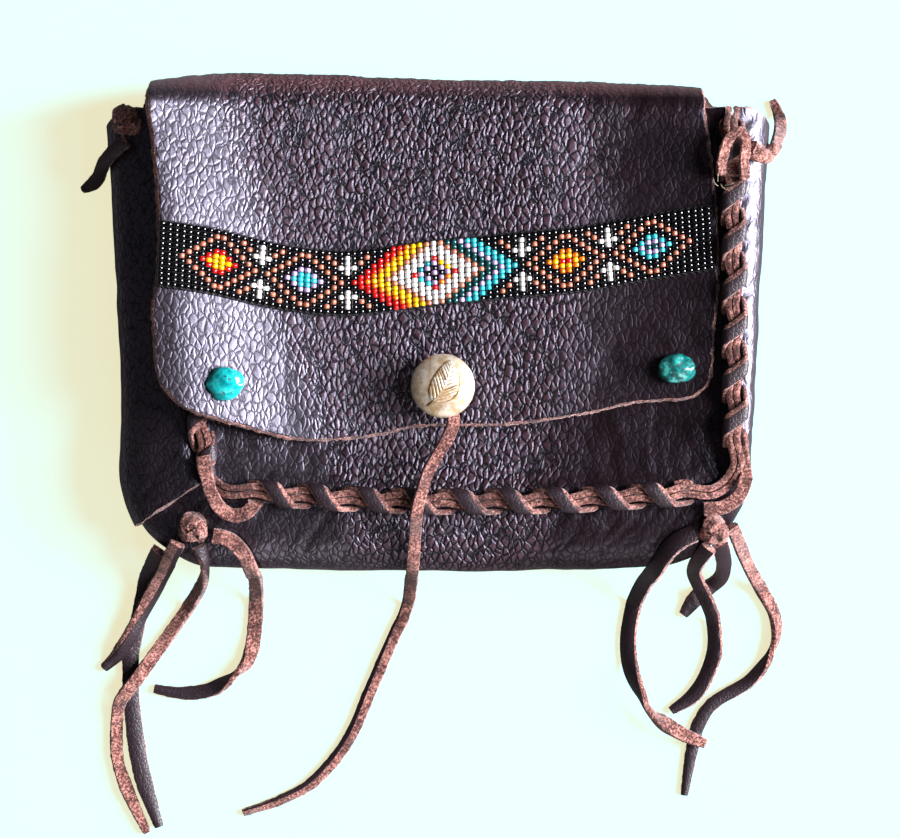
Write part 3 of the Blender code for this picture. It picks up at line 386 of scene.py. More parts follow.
def pebbledLeather():
    # Full-grain cowhide, drum-tumbled and aniline dyed: dark round pebbles with a waxy sheen, dull creases,
    # with painted shade darkening the creases and the pebbles' tops painted lighter.
    made, tree, shader = newMaterial("pebbled cowhide, tumbled", IOR=1.55, Specular_Tint=linear("ECE8FF"))
    inMm = placeInMm(tree)
    drift = addNoise(tree, inMm, 1 / grain["driftSize"], 2.0, output="Color")
    centred = addVector(tree, "SUBTRACT", drift, (0.5, 0.5, 0.5))
    warped = addVector(tree, "ADD", inMm, addVector(tree, "SCALE", centred, scale=grain["drift"]))
    cellScale = (1 / grain["cellAcross"], 1 / grain["cellAlong"], 1 / grain["cellAcross"])
    turned = {"Vector": warped, "Rotation": (0, 0, math.pi / 4), "Scale": cellScale}
    edge = addCells(tree, addNode(tree, "Mapping", turned).outputs[0], 1.0, 0.65)
    rim = addRange(tree, edge, (0.0, 0.25), kind="SMOOTHSTEP")
    dome = addMath(tree, "SINE", addRange(tree, edge, (0.0, 0.42), (0.0, math.pi / 2)))
    pillow = addMath(tree, "MULTIPLY_ADD", dome, 0.7, addMath(tree, "MULTIPLY", rim, 0.6))
    finePillow = addRange(tree, addCells(tree, warped, 1 / grain["fineCell"]), (0.0, 0.22))
    pores = addNoise(tree, inMm, 1 / grain["pore"], 3.0)
    softLumps = addNoise(tree, inMm, 1 / grain["lumps"], 3.0)
    strength = addRange(tree, softLumps, (0.3, 0.65), (0.6, 1.0))
    # at its left and beside the right seam the hide is drawn tight, and its pebbles are nearly flat there
    atLeft, atRight = (
        addRange(tree, addVector(tree, "DOT_PRODUCT", inMm, way), fromEnds, toEnds, "SMOOTHSTEP")
        for way, fromEnds, toEnds in grain["tightAt"]
    )
    tight = addMath(tree, "MULTIPLY", atLeft, atRight)
    bold = addMath(tree, "MULTIPLY", pillow, strength)
    withFine = addMath(tree, "MULTIPLY_ADD", finePillow, 0.11, bold)
    withPores = addMath(tree, "MULTIPLY_ADD", pores, 0.04, withFine)
    bump = addBump(tree, addMath(tree, "MULTIPLY", withPores, tight), grain["height"], 1.0)
    # where the pebbles are flat, the painted shade in their creases is weaker too
    evened = addNode(tree, "Mix", {0: tight, 2: 0.4, 3: pillow}).outputs[0]
    tone = addMath(tree, "MULTIPLY_ADD", softLumps, 0.4, evened)
    # this ramp paints shade: darkest in the creases, lightest on the pebbles' tops
    pebbles = addRamp(tree, tone, ((0.25, grain["creaseShade"]), (0.8, grain["low"]), (1.5 / 1.6, grain["top"])))
    parts = addNode(tree, "SeparateXYZ", {"Vector": inMm}).outputs
    # towards the fold the colour turns lighter and redder: painted light standing in for light that falls on
    # the fold from above
    rubbed = addRange(tree, parts["Y"], grain["paintedFoldLight"], (0.0, 0.8))
    fold = {"Factor": rubbed, 6: pebbles, 7: linear(grain["fold"])}
    colour = addNode(tree, "Mix", fold, data_type="RGBA").outputs[2]
    rough = addMath(tree, "MULTIPLY_ADD", pillow, -0.04, addMath(tree, "MULTIPLY_ADD", tight, 0.13, 0.39))
    # handling has polished the left of the flap and the right gusset, and the hide between is drier
    waxLeft = addMath(tree, "MULTIPLY_ADD", atLeft, -0.62, 1.42)
    waxRight = addRange(tree, atRight, (0.16, 1.0), (0.45, 1.0))
    inCrease = addRange(tree, edge, (0.0, 0.085), (0.25, 1.0))
    wax = addMath(tree, "MULTIPLY", addMath(tree, "MULTIPLY", waxLeft, waxRight), inCrease)
    polish = addMath(tree, "MAXIMUM", wax, addRange(tree, parts["X"], grain["polishedGusset"]))
    plug(tree, shader, Base_Color=colour, Roughness=rough, Specular_IOR_Level=polish, Normal=bump)
    return made


def laceLeather():
    # The grain side of cut lace: dyed hide pulled tight, smooth with fine cross creases and a soft shine.
    made, tree, shader = newMaterial("dyed lace, grain side", IOR=1.5)
    inMm = placeInMm(tree)
    pores = addNoise(tree, inMm, 1 / 0.35, 3.0)
    pillow = addRange(tree, addCells(tree, inMm, 1 / 1.3), (0.0, 0.2))
    bump = addBump(tree, addMath(tree, "MULTIPLY_ADD", pores, 0.5, pillow), 0.08 * mm, 0.8)
    colour = addRamp(tree, pores, ((0.3, "1C1317"), (0.7, "34262D")))
    rough = addRange(tree, pores, (0.0, 1.0), (0.34, 0.56))
    plug(tree, shader, Base_Color=colour, Roughness=rough, Normal=bump)
    return made


def splitSuede(name, dark, middle, light):
    # The cut and flesh side of hide: loose red-brown fibres in tufts, no gloss, with pale tips and dark gaps.
    fuzz = {"Sheen_Weight": 0.35, "Sheen_Roughness": 0.6, "Specular_IOR_Level": 0.15}
    made, tree, shader = newMaterial(name, Roughness=0.95, **fuzz)
    inMm = placeInMm(tree)
    tufts = addNoise(tree, inMm, 1 / 0.75, 4.0, roughness=0.7)
    tone = addMath(tree, "MULTIPLY_ADD", addNoise(tree, inMm, 1 / 5.0, 2.0), 0.4, tufts)
    colour = addRamp(tree, tone, ((0.52, dark), (0.68, middle), (0.86, light)))
    plug(tree, shader, Base_Color=colour, Normal=addBump(tree, tufts, 0.5 * mm, 0.9))
    return made


def threadMaterial(name, hexColour):
    # Waxed sewing thread: fine twisted strands, matt with a faint glint.
    made, tree, shader = newMaterial(name, Roughness=0.6)
    twist = addNoise(tree, addNode(tree, "TexCoord").outputs["Object"], 1 / 0.0003, 2.0)
    plug(tree, shader, Base_Color=addRamp(tree, twist, ((0.3, "050506"), (0.75, hexColour))))
    return made


leather = pebbledLeather()
laceGrain = laceLeather()
suede = splitSuede("split suede, cut side", "1E0C0A", "5E3028", "C98F80")
fleshSide = splitSuede("flesh side, brushed", "241512", "45291F", "6E4A3C")
blackThread = threadMaterial("black nylon thread, waxed", "2A2A2E")
paleThread = threadMaterial("undyed linen thread, frayed", "D8C6A8")
print("leather and suede materials made")


# Loose laces come first: flat suede strips on the routes that the CAD gives
lace = {
    "width": 5.2 * mm, "thickness": 1.9 * mm,
    "step": 0.9 * mm,  # between rings
    "taper": 0.45,  # of the width, over the last stretch
    "fuzz": 0.22 * mm, "fibresPerMm": 1.1, "fibre": 0.9 * mm,
    "sink": 1.15 * mm,  # a flat strip lies lower than the round tube of the CAD
}
# Each lace: body, what shows on top, rolls as (share of the length, degrees), the width's share, route in mm
laceRoutes = {
    "fringe_left_1": ("pouch", "grain", ((0, 15), (0.3, 30), (0.8, 30), (1, 20)), 1.0, (
        (-83, -70, 28.4), (-85.6, -74, 23.8), (-87.5, -77, 19), (-90, -81, 13), (-93.5, -86.5, 8.6),
        (-98, -94.5, 6.2), (-102, -102, 5.9), (-106, -108, 3.6), (-111.3, -113, 2),
    )),
    "fringe_left_2": ("pouch", "suede", ((0, -150), (0.12, -60), (0.3, -25), (0.6, 15), (1, 20)), 0.85, (
        (-76, -70.8, 28), (-74.8, -75.4, 25.3), (-74.9, -78.4, 22.6), (-75.4, -80.2, 18.6),
        (-77, -83.5, 12.5), (-80.5, -89, 5.4), (-85, -95.5, 2.2), (-91, -104, 2.2), (-96, -111, 3.8),
        (-99.5, -116, 5.9), (-103.5, -121, 5.9), (-106.5, -127, 3.4), (-107, -142, 2), (-103, -155, 2),
        (-97, -168, 2),
    )),
    "fringe_left_3": ("pouch", "suede",
        ((0, 0), (0.3, -15), (0.6, 15), (0.7, 85), (0.8, 165), (1, 175)), 0.95, (
        (-71.6, -67.4, 28.6), (-66.5, -68.6, 28.4), (-62.2, -73, 27), (-60.4, -77.4, 24.8),
        (-59.8, -80.2, 21.2), (-59.7, -81, 16.5), (-60, -84.5, 8.5), (-60.5, -90.5, 3), (-61, -98, 2),
        (-62, -106, 2), (-65, -113, 2), (-75, -120, 2), (-85, -121.5, 2), (-94.6, -120, 2),
    )),
    "fringe_left_4": ("pouch", "grain", ((0, 0), (0.5, 8), (1, 12)), 1.05, (
        (-89.9, -72.6, 21.4), (-92.5, -76.5, 15), (-95.5, -81.5, 8), (-98, -88, 2.8), (-99.5, -95, 2),
        (-101, -102, 2), (-102.5, -110, 2), (-102, -126, 2), (-99, -147, 2), (-93, -166, 2),
    )),
    "fringe_right_1": ("pouch", "grain",
        ((0, -20), (0.25, -38), (0.6, -34), (0.78, -95), (0.9, -160), (1, -170)), 1.1, (
        (82, -66.6, 28.6), (76.6, -69.4, 27.9), (72.6, -73.8, 26.2), (70.2, -78.6, 22.4),
        (68.8, -81.3, 16.5), (67.4, -85, 9), (65, -92, 3), (63.2, -103, 2), (64, -113, 3.6),
        (67, -121, 5.9), (71, -128, 5.9), (80, -134, 5.9), (88.4, -137.7, 5.6),
    )),
    "fringe_right_2": ("pouch", "grain", ((0, -10), (0.25, -40), (0.6, -35), (0.85, -25), (1, -15)), 1.0, (
        (86.8, -71.2, 26.4), (85, -74.2, 22.9), (83.6, -77.6, 18), (84, -81, 12), (86.5, -86, 7.6),
        (89.5, -92, 6.1), (91.6, -98, 3), (91.6, -109, 2), (86, -121, 2), (77.5, -127.5, 2),
    )),
    "fringe_right_3": ("pouch", "suede",
        ((0, 10), (0.3, 20), (0.45, 60), (0.56, 140), (0.7, 170), (1, 178)), 0.85, (
        (94.3, -64.8, 24.7), (97, -69.5, 20), (99.5, -74, 14), (103, -80, 7.5), (107.5, -87, 2.8),
        (112, -96, 2), (111.5, -106, 2), (104, -117, 2), (92, -124.5, 2), (87, -131.5, 2), (85, -138, 2),
        (83.5, -146, 2), (82, -155.5, 2),
    )),
    "fringe_right_4": ("pouch", "grain", ((0, -10), (0.5, 12), (1, 15)), 1.0, (
        (90.8, -70.4, 22.6), (92.4, -74, 17.5), (93.8, -78, 11), (93.5, -82.5, 5.5), (90.5, -86, 2.4),
        (86.5, -89, 2), (81.5, -95.5, 2),
    )),
    "button_thong": ("cover", "grain",
        ((0, 0), (0.2, 10), (0.35, -10), (0.55, -20), (0.75, -10), (1, 8)), 0.8, (
        (4.4, -26, 31.9), (5, -31, 31.9), (3, -36.5, 31.4), (-0.6, -42.5, 31), (-3.2, -47.5, 32.6),
        (-4.7, -52.4, 36.2), (-5.9, -56.5, 36.5), (-6.6, -60, 36.4), (-7, -63.2, 34), (-7.3, -67, 30),
        (-7.6, -71.5, 28), (-8, -76, 26), (-8.2, -79.4, 23.2), (-8.5, -81.6, 19.6), (-8.7, -82.4, 15.5),
        (-9.2, -86, 8), (-10, -91, 3.2), (-12, -97, 2), (-15, -103, 2), (-22, -119, 2), (-30, -137, 2),
        (-41, -150.5, 2), (-52, -157, 2), (-65, -161.5, 2),
    )),
    "tail_top_left": ("pouch", "grain", ((0, 10), (0.5, 25), (1, 20)), 0.85, (
        (-99.4, 58.4, 29.2), (-102, 56.8, 27.6), (-104.9, 54.6, 25.5), (-107.7, 52.2, 21.8),
        (-109.6, 50.5, 17), (-111.5, 49, 11), (-114.5, 47.5, 5.5), (-118.1, 46.5, 2),
    )),
    "tail_top_right": ("pouch", "suede", ((0, 0), (0.4, -20), (1, 25)), 0.8, (
        (99.2, 55.5, 35.8), (102, 54.6, 32), (104.8, 54.8, 27.8), (107.2, 55.8, 23.4), (109.4, 58, 18),
        (111, 61, 12.5), (113, 65.5, 6.5), (113.4, 70.5, 3), (111.4, 76, 2),
    )),
}
# How far the upper side of these laces is cut away to suede, as (share of the length, share of the width):
# below 0 on the left as the lace runs, else on the right
suedeShown = {
    "fringe_left_1": ((0, 0.6), (0.5, 0.5), (0.8, 0.15), (1, 0.0)),
    "button_thong": ((0, -0.86), (0.42, -0.86), (0.6, -0.6), (0.85, -0.55), (1, -0.8)),
}


# A lace's section: (share of the width, share of the thickness). The grain side comes first, then an edge,
# the flesh side and the other edge. With shown, the grain side stops short on the right and bares the edge.
def laceSection(shown, crown=0.3, count=8):
    upper = [-0.46 + (0.93 - shown) * k / (count - 1) for k in range(count)]
    upper = [(a, 0.4 + crown * (1 - (2 * a) ** 2)) for a in upper]
    lower = [(0.44 - 0.88 * k / (count - 1), -0.5) for k in range(count)]
    return upper + [(0.48, 0.12), (0.5, -0.25)] + lower + [(-0.5, -0.25), (-0.49, 0.15)], count


def stripInto(shape, rings, thickness, fuzz, shown=0.0):
    # rings: centre, vector across the whole width, direction that the grain side faces
    # shown: one number, or points like those of suedeShown
    profile = shown if isinstance(shown, tuple) else ((0, shown), (1, shown))
    if profile[0][1] < 0:
        rings = [(centre, -across, out) for centre, across, out in reversed(rings)]
        profile = tuple((1 - place, -value) for place, value in reversed(profile))
    section, grainCount = laceSection(0.0)
    verts, size, last = [], len(section), len(rings) - 1
    for i, (centre, across, out) in enumerate(rings):
        out, sideways = out.normalized(), across.normalized()
        section = laceSection(through(profile, i / last))[0]
        for k, (a, b) in enumerate(section):
            point = centre + across * a + out * b * thickness
            if k >= grainCount:
                tuft = wobble(point, 0.55 * mm, 3.1) + 0.6 * wobble(point, 0.3 * mm, 7.7)
                lump = wobble(point, 2.4 * mm, 1.3)
                way = (sideways * math.copysign(a * a * 4, a) + out * b * 2).normalized()
                point = point + way * fuzz * (tuft + 0.8 * lump)
            verts.append(point)
    faces = tubeFaces(len(rings), size)
    addPart(shape, verts, faces, 1)
    finish = [0 if face[0] % size < grainCount - 1 else 1 for face in faces[:-2]]
    shape["finish"][-len(faces):] = finish + [1, 1]


# Rings along a route: rolls turn the lace about its length, and the taper narrows its last stretch
def laceRings(route, rolls, width, step, thickness, grainUp=False, sink=0.0, taper=0.0):
    points = smoothRoute([Vector(place) * mm for place in route], step)
    last = len(points) - 1
    rings = []
    for i, point in enumerate(points):
        along = (points[min(i + 1, last)] - points[max(i - 1, 0)]).normalized()
        side = along.cross(Vector((0, 0, 1))).normalized()
        up = side.cross(along)
        share = i / last
        roll = math.radians(through(rolls, share))
        across = side * math.cos(roll) + up * math.sin(roll)
        out = up * math.cos(roll) - side * math.sin(roll)
        if not grainUp:
            across, out = -across, -out
        wide = width * (1 + 0.10 * wobble(point, 9 * mm, 4.4)) * (1 - taper * max(0.0, share - 0.86) / 0.14)
        half = abs(across.z) * wide / 2 + abs(out.z) * thickness / 2
        lowered = point.z - sink * (1 - smoothStep((point.z - 2 * mm) / (2.5 * mm)))
        centre = Vector((point.x, point.y, max(lowered, half + 0.15 * mm)))
        rings.append((centre, across * wide, out))
    return rings


def fibresAlong(shape, rings, perMm, length, thickness):
    for (centre, across, out), (following, _, _) in zip(rings, rings[1:]):
        run = (following - centre).length / mm
        for _ in range(int(run * perMm + chance.random())):
            around = chance.uniform(-1, 1)
            root = centre.lerp(following, chance.random()) + across * 0.5 * around - out * thickness * 0.35
            way = across.normalized() * around - out * chance.uniform(0.1, 0.9)
            way += (following - centre).normalized() * chance.uniform(-1, 1)
            fibreInto(shape, root, way.normalized(), length * chance.uniform(0.4, 1.1), 1)


def lacePiece(name, ending, shape, body="pouch", more=()):
    return fit(meshObject(name + ending, shape, [laceGrain, suede, *more]), body, "lace_leather", name)


def looseLace(name, body, shown, rolls, widthShare, route):
    shape = newShape()
    width, thickness = lace["width"] * widthShare, lace["thickness"]
    rings = laceRings(
        route, rolls, width, lace["step"], thickness, shown == "grain", lace["sink"], lace["taper"]
    )
    stripInto(shape, rings, thickness, lace["fuzz"], suedeShown.get(name, 0.0))
    fibresAlong(shape, rings, lace["fibresPerMm"], lace["fibre"], thickness)
    piece = lacePiece(name, "_strip", shape, body)


for laceName, laceValues in laceRoutes.items():
    looseLace(laceName, *laceValues)
print("loose laces laid")


# The hide: sheets drawn at the leather's middle, then given two sides and a raw cut edge
class RoundedLine:  # down the left side, along the base and up the right side
    def __init__(self, corners, radii, bow):
        leftTop, leftBase, rightBase, rightTop = (Vector(c) for c in corners)
        self.leftTop, self.rightTop, self.bow = leftTop, rightTop, bow
        self.arcs = [
            self.cornerArc(leftTop, leftBase, rightBase, radii[0]),
            self.cornerArc(leftBase, rightBase, rightTop, radii[1]),
        ]
        self.middle = (leftBase.x + rightBase.x) / 2
        self.half = (rightBase.x - leftBase.x) / 2

    @staticmethod
    def cornerArc(before, at, after, radius):
        u, v = (before - at).normalized(), (after - at).normalized()
        half = u.angle(v) / 2
        centre = at + (u + v).normalized() * radius / math.sin(half)
        reach = radius / math.tan(half)
        return centre, at + u * reach - centre, at + v * reach - centre

    def point(self, stretch, fraction):
        (centreA, startA, endA), (centreB, startB, endB) = self.arcs
        if stretch == leftSide:
            return self.leftTop.lerp(centreA + startA, fraction)
        if stretch == rightSide:
            return (centreB + endB).lerp(self.rightTop, fraction)
        if stretch == base:
            flat = (centreA + endA).lerp(centreB + startB, fraction)
        else:
            centre, start, end = self.arcs[0] if stretch == leftCorner else self.arcs[1]
            angle = start.angle(end)
            turned = start * math.sin((1 - fraction) * angle) + end * math.sin(fraction * angle)
            flat = centre + turned / math.sin(angle)
        across = (flat.x - self.middle) / self.half
        return flat - Vector((0, self.bow * max(0, 1 - across * across)))

    def outward(self, stretch, fraction):
        low, high = max(fraction - 0.004, 0), min(fraction + 0.004, 1)
        along = (self.point(stretch, high) - self.point(stretch, low)).normalized()
        return Vector((along.y, -along.x))

    def length(self, stretch):
        places = [self.point(stretch, i / 24) for i in range(25)]
        return sum((b - a).length for a, b in zip(places, places[1:]))

    def places(self, first, last, step):
        found = []
        for stretch in range(first[0], last[0] + 1):
            low = first[1] if stretch == first[0] else 0.0
            high = last[1] if stretch == last[0] else 1.0
            count = max(1, round(self.length(stretch) * (high - low) / step))
            found += [(stretch, low + (high - low) * k / count) for k in range(count)]
        return found + [last]


def widestLine(inset):
    top, foot = pouch["topWidth"] / 2 - inset, pouch["baseWidth"] / 2 - inset
    baseY = pouch["mouthY"] - pouch["height"] + inset
    corners = ((-top, pouch["mouthY"]), (-foot, baseY), (foot, baseY), (top, pouch["mouthY"]))
    return RoundedLine(corners, (pouch["cornerLeft"] - inset, pouch["cornerRight"] - inset), pouch["baseBow"])


def seamLine():
    baseY = pouch["mouthY"] - pouch["height"] + pouch["baseWing"]
    corners = (
        (-pouch["topWidth"] / 2 + pouch["leftWingTop"], pouch["mouthY"]),
        (-pouch["baseWidth"] / 2 + pouch["leftWingBase"], baseY),
        (pouch["baseWidth"] / 2 - pouch["rightWingBase"], baseY),
        (pouch["topWidth"] / 2 - pouch["rightWingTop"], pouch["mouthY"]),
    )
    return RoundedLine(corners, (pouch["seamCorner"], pouch["seamCorner"]), pouch["seamBow"])


belly = widestLine(pouch["hide"] / 2)
seam = seamLine()
slitCounts = {
    side: max(2, round(seam.length(side) / lacing["pitch"])) for side in (leftSide, base, rightSide)
}


def slitCentres(stretch):
    return [(k + 0.5) / slitCounts[stretch] for k in range(slitCounts[stretch])]


def onSeam(stretch, fraction, out, z):
    if stretch in slitCounts:  # the lace draws the ridge into a wave: out at each band, in at each slit
        wave = 0.5 - 0.5 * math.cos(2 * math.pi * fraction * slitCounts[stretch])
        out -= lacing["sway"] * wave * smoothStep((z - slitLow) / (lipTop - slitLow))
    else:  # round the two corners, where no lace lifts them, the lips lie lower
        z -= max(0.0, z - seamZ) * pouch["cornerLow"] * math.sin(math.pi * fraction) ** 2
    if stretch in (leftSide, rightSide):  # the lips run out low at the mouth
        fromTop = (fraction if stretch == leftSide else 1 - fraction) * seam.length(stretch)
        z -= max(0.0, z - seamZ) * pouch["mouthLow"] * (1 - smoothStep(fromTop / pouch["mouthRun"]))
    place = seam.point(stretch, fraction) + seam.outward(stretch, fraction) * out
    return Vector((place.x, place.y, z))


def lipRows(side, straight=5, turn=4):  # from the lip's top down to its foot, as (way out, height)
    fillet = pouch["lipFillet"]
    rows = [(side * lipOffset, lipTop + (slitLow - lipTop) * k / straight) for k in range(straight)]
    for k in range(turn + 1):
        angle = math.pi / 2 * k / turn
        out = lipOffset + fillet * (1 - math.cos(angle))
        rows.append((side * out, seamZ + fillet * (1 - math.sin(angle))))
    return rows


def lapLift(stretch, fraction):
    if stretch == leftSide:
        return pouch["lapRise"] * smoothStep(1 - (1 - fraction) * seam.length(leftSide) / pouch["lapRunUp"])
    return pouch["lapRise"] if stretch == leftCorner and fraction <= pouch["lapEnd"] else 0.0


def wingSection(stretch, fraction, lift, upper=18, lower=9):
    section = [onSeam(stretch, fraction, out, z) for out, z in lipRows(1)]
    foot = section[-1]
    widest = belly.point(stretch, fraction)
    inset = (foot.to_2d() - widest).length
    inward = (foot.to_2d() - widest).normalized()
    for k in range(upper - 1, -1, -1):
        angle = math.pi / 2 * k / upper
        place = widest + inward * inset * (1 - math.cos(angle)) - inward * lift * math.cos(angle)
        z = bellyZ + (seamZ - bellyZ) * math.sin(angle) + lift * math.sin(2 * min(angle, math.pi / 4))
        section.append(Vector((place.x, place.y, z)))
    for k in range(lower - 1, -1, -1):
        angle = math.pi / 2 * k / lower
        place = widest + inward * pouch["backTuck"] * (1 - math.sin(angle))
        place -= inward * lift * max(0, math.sin(angle) * 2 - 1)
        section.append(Vector((place.x, place.y, bellyZ - pouch["bellyRise"] * math.cos(angle))))
    return section


creases = {  # lean in degrees, size across the creases and along them, height
    "wing": (-42, 3.2 * mm, 14 * mm, 0.55 * mm),
    "panel": (10, 5 * mm, 16 * mm, 0.3 * mm),
    "fold": (-14, 2.6 * mm, 22 * mm, 0.42 * mm),
}
bodyEdge = {"flare": 0.35 * mm, "rough": 0.42 * mm, "fibres": 3.0}  # fibres: how many on each mm of raw edge
coverEdge = {"flare": 0.8 * mm, "rough": 0.22 * mm, "fibres": 3.5}


def slack(place, amount=1.0):  # the soft hollows and swells of worn hide
    return amount * (0.34 * mm * wobble(place, 15 * mm, 2.2) + 0.20 * mm * wobble(place, 6.5 * mm, 5.1))


def wrinkles(place, kind, share=1.0):  # long creases that run along one way
    lean, across, along, height = creases[kind]
    x, y, lean = place[0], place[1], math.radians(lean)
    u, v = x * math.cos(lean) + y * math.sin(lean), y * math.cos(lean) - x * math.sin(lean)
    ridge = noise.noise(Vector((u / across, v / along, place[2] / along + 3.3)))
    return height * share * (0.35 - abs(ridge)) * 1.6


def vertexNormals(points, faces):
    corners = points[faces]
    faceNormals = np.cross(corners[:, 2] - corners[:, 0], corners[:, 3] - corners[:, 1])
    normals = np.zeros_like(points)
    for k in range(4):
        np.add.at(normals, faces[:, k], faceNormals)
    return normals / np.maximum(np.linalg.norm(normals, axis=1, keepdims=True), 1e-12)


def hideInto(shape, points, faces, relief, joined=(), *, flare, rough, fibres):
    # Finishes: 0 the grain side, 1 the cut edge, 2 the flesh side. An edge with both ends joined stays open.
    edgeRows = 3
    points, faces, joined = np.array([tuple(p) for p in points]), np.array(faces), set(joined)
    normals = vertexNormals(points, faces)
    points = points + normals * np.array([relief(p) for p in points])[:, None]
    normals = vertexNormals(points, faces)
    halves = {(int(a), int(b)) for k in range(4) for a, b in zip(faces[:, k], faces[:, (k + 1) % 4])}
    border = sorted((a, b) for a, b in halves if (b, a) not in halves and not (a in joined and b in joined))
    outward = {}
    for a, b in border:
        way = np.cross(points[b] - points[a], normals[a])
        for v in (a, b):
            outward[v] = outward.get(v, 0) + way / max(np.linalg.norm(way), 1e-12)
    half = pouch["hide"] / 2
    outer, inner = points + normals * half, points - normals * half
    for v, way in outward.items():
        outward[v] = way / max(np.linalg.norm(way), 1e-12)
        if v not in joined:
            outer[v] -= outward[v] * flare * (0.6 + 0.5 * wobble(points[v], 1.6 * mm, 8.0))
            inner[v] += outward[v] * flare * (0.5 + 0.7 * wobble(points[v], 1.1 * mm, 9.0))
    rows, edgeVerts = {}, []
    count = len(points)
    for v in sorted(outward):
        rows[v] = [v]
        for k in range(1, edgeRows + 1):
            share = k / (edgeRows + 1)
            place = outer[v] * (1 - share) + inner[v] * share
            tuft = wobble(place, 0.7 * mm, 2.0) + 0.7 * wobble(place, 0.35 * mm, 6.0)
            rows[v].append(2 * count + len(edgeVerts))
            edgeVerts.append(place + outward[v] * (0.25 * mm * math.sin(math.pi * share) + rough * tuft))
        rows[v].append(count + v)
    start = len(shape["verts"])
    addPart(shape, [*outer, *inner, *edgeVerts], faces.tolist(), 0)
    backs = [tuple(start + count + i for i in face[::-1]) for face in faces.tolist()]
    sides = [
        tuple(start + i for i in (rows[b][k], rows[a][k], rows[a][k + 1], rows[b][k + 1]))
        for a, b in border for k in range(edgeRows + 1)
    ]
    shape["faces"] += backs + sides
    shape["finish"] += [2] * len(backs) + [1] * len(sides)
    for a, b in border:
        for _ in range(int(np.linalg.norm(points[b] - points[a]) / mm * fibres + chance.random())):
            depth = chance.random()
            rootA, rootB = (Vector(outer[v] * (1 - depth) + inner[v] * depth) for v in (a, b))
            root = rootA.lerp(rootB, chance.random())
            way = Vector(outward[a]) + Vector([chance.uniform(-0.9, 0.9) for _ in range(3)])
            fibreInto(shape, root, way.normalized(), chance.uniform(0.3, 0.9) * mm, 1, 0.05 * mm)
    return start, count


sheetStep = 1.15 * mm


def fitHide(name, shape, node, more=()):
    return fit(meshObject(name, shape, [leather, suede, fleshSide, *more]), "pouch", "leather", node)


def bodyHide():
    shape = newShape()
    points, faces, feet = [], [], []
    lap = pouch["lapEnd"]
    left = belly.places((leftSide, 0.0), (leftCorner, lap), sheetStep)
    rest = belly.places((leftCorner, lap - 0.08), (rightSide, 1.0), sheetStep)
    # the base wing's first columns start further under the left wing at their top than at their foot
    tuckedColumns, tuckedStart = 8, lap + 0.004
    for wing in (left, rest):
        start = len(points)
        for i, (stretch, fraction) in enumerate(wing):
            lift = lapLift(stretch, fraction) if wing is left else 0.0
            section = wingSection(stretch, fraction, lift)
            if wing is rest and i < tuckedColumns:
                run = wing[tuckedColumns][1] - tuckedStart
                foot = wingSection(stretch, tuckedStart + run * i / tuckedColumns, 0.0)
                shares = [smoothStep(j / (len(section) - 1) * 1.6 - 0.5) for j in range(len(section))]
                section = [top.lerp(low, share) for top, low, share in zip(section, foot, shares)]
            points += section
        size = len(section)
        faces += [tuple(start + i for i in face) for face in gridFaces(len(wing), size)]
        feet += [start + i * size + size - 1 for i in range(len(wing))]

    drop, reach = pouch["wingCorner"]
    for place in points:
        outside = max(0.0, abs(place.x) - pouch["topWidth"] / 2 + reach) / reach
        nearTop = smoothStep((place.y - pouch["mouthY"] + 2 * drop) / (2 * drop))
        place.y -= drop * min(1.0, outside) ** 2 * nearTop

    def relief(place):
        z = place[2]
        near = smoothStep((z - backZ) / (5 * mm)) * (1 - smoothStep((z - seamZ - 1 * mm) / (3 * mm)))
        shoulder = smoothStep((z - bellyZ) / (9 * mm))
        return near * (slack(place, 1.2) + wrinkles(place, "wing", shoulder))

    start, count = hideInto(shape, points, faces, relief, feet, **bodyEdge)
    outerRing = [start + v for v in feet]
    innerRing = [start + count + v for v in feet]
    shape["faces"] += [tuple(outerRing[::-1]), tuple(innerRing)]
    shape["finish"] += [0, 2]
    shape["faces"].append((outerRing[0], outerRing[-1], innerRing[-1], innerRing[0]))
    shape["finish"].append(1)
    return fitHide("body_hide", shape, "body_wrap")


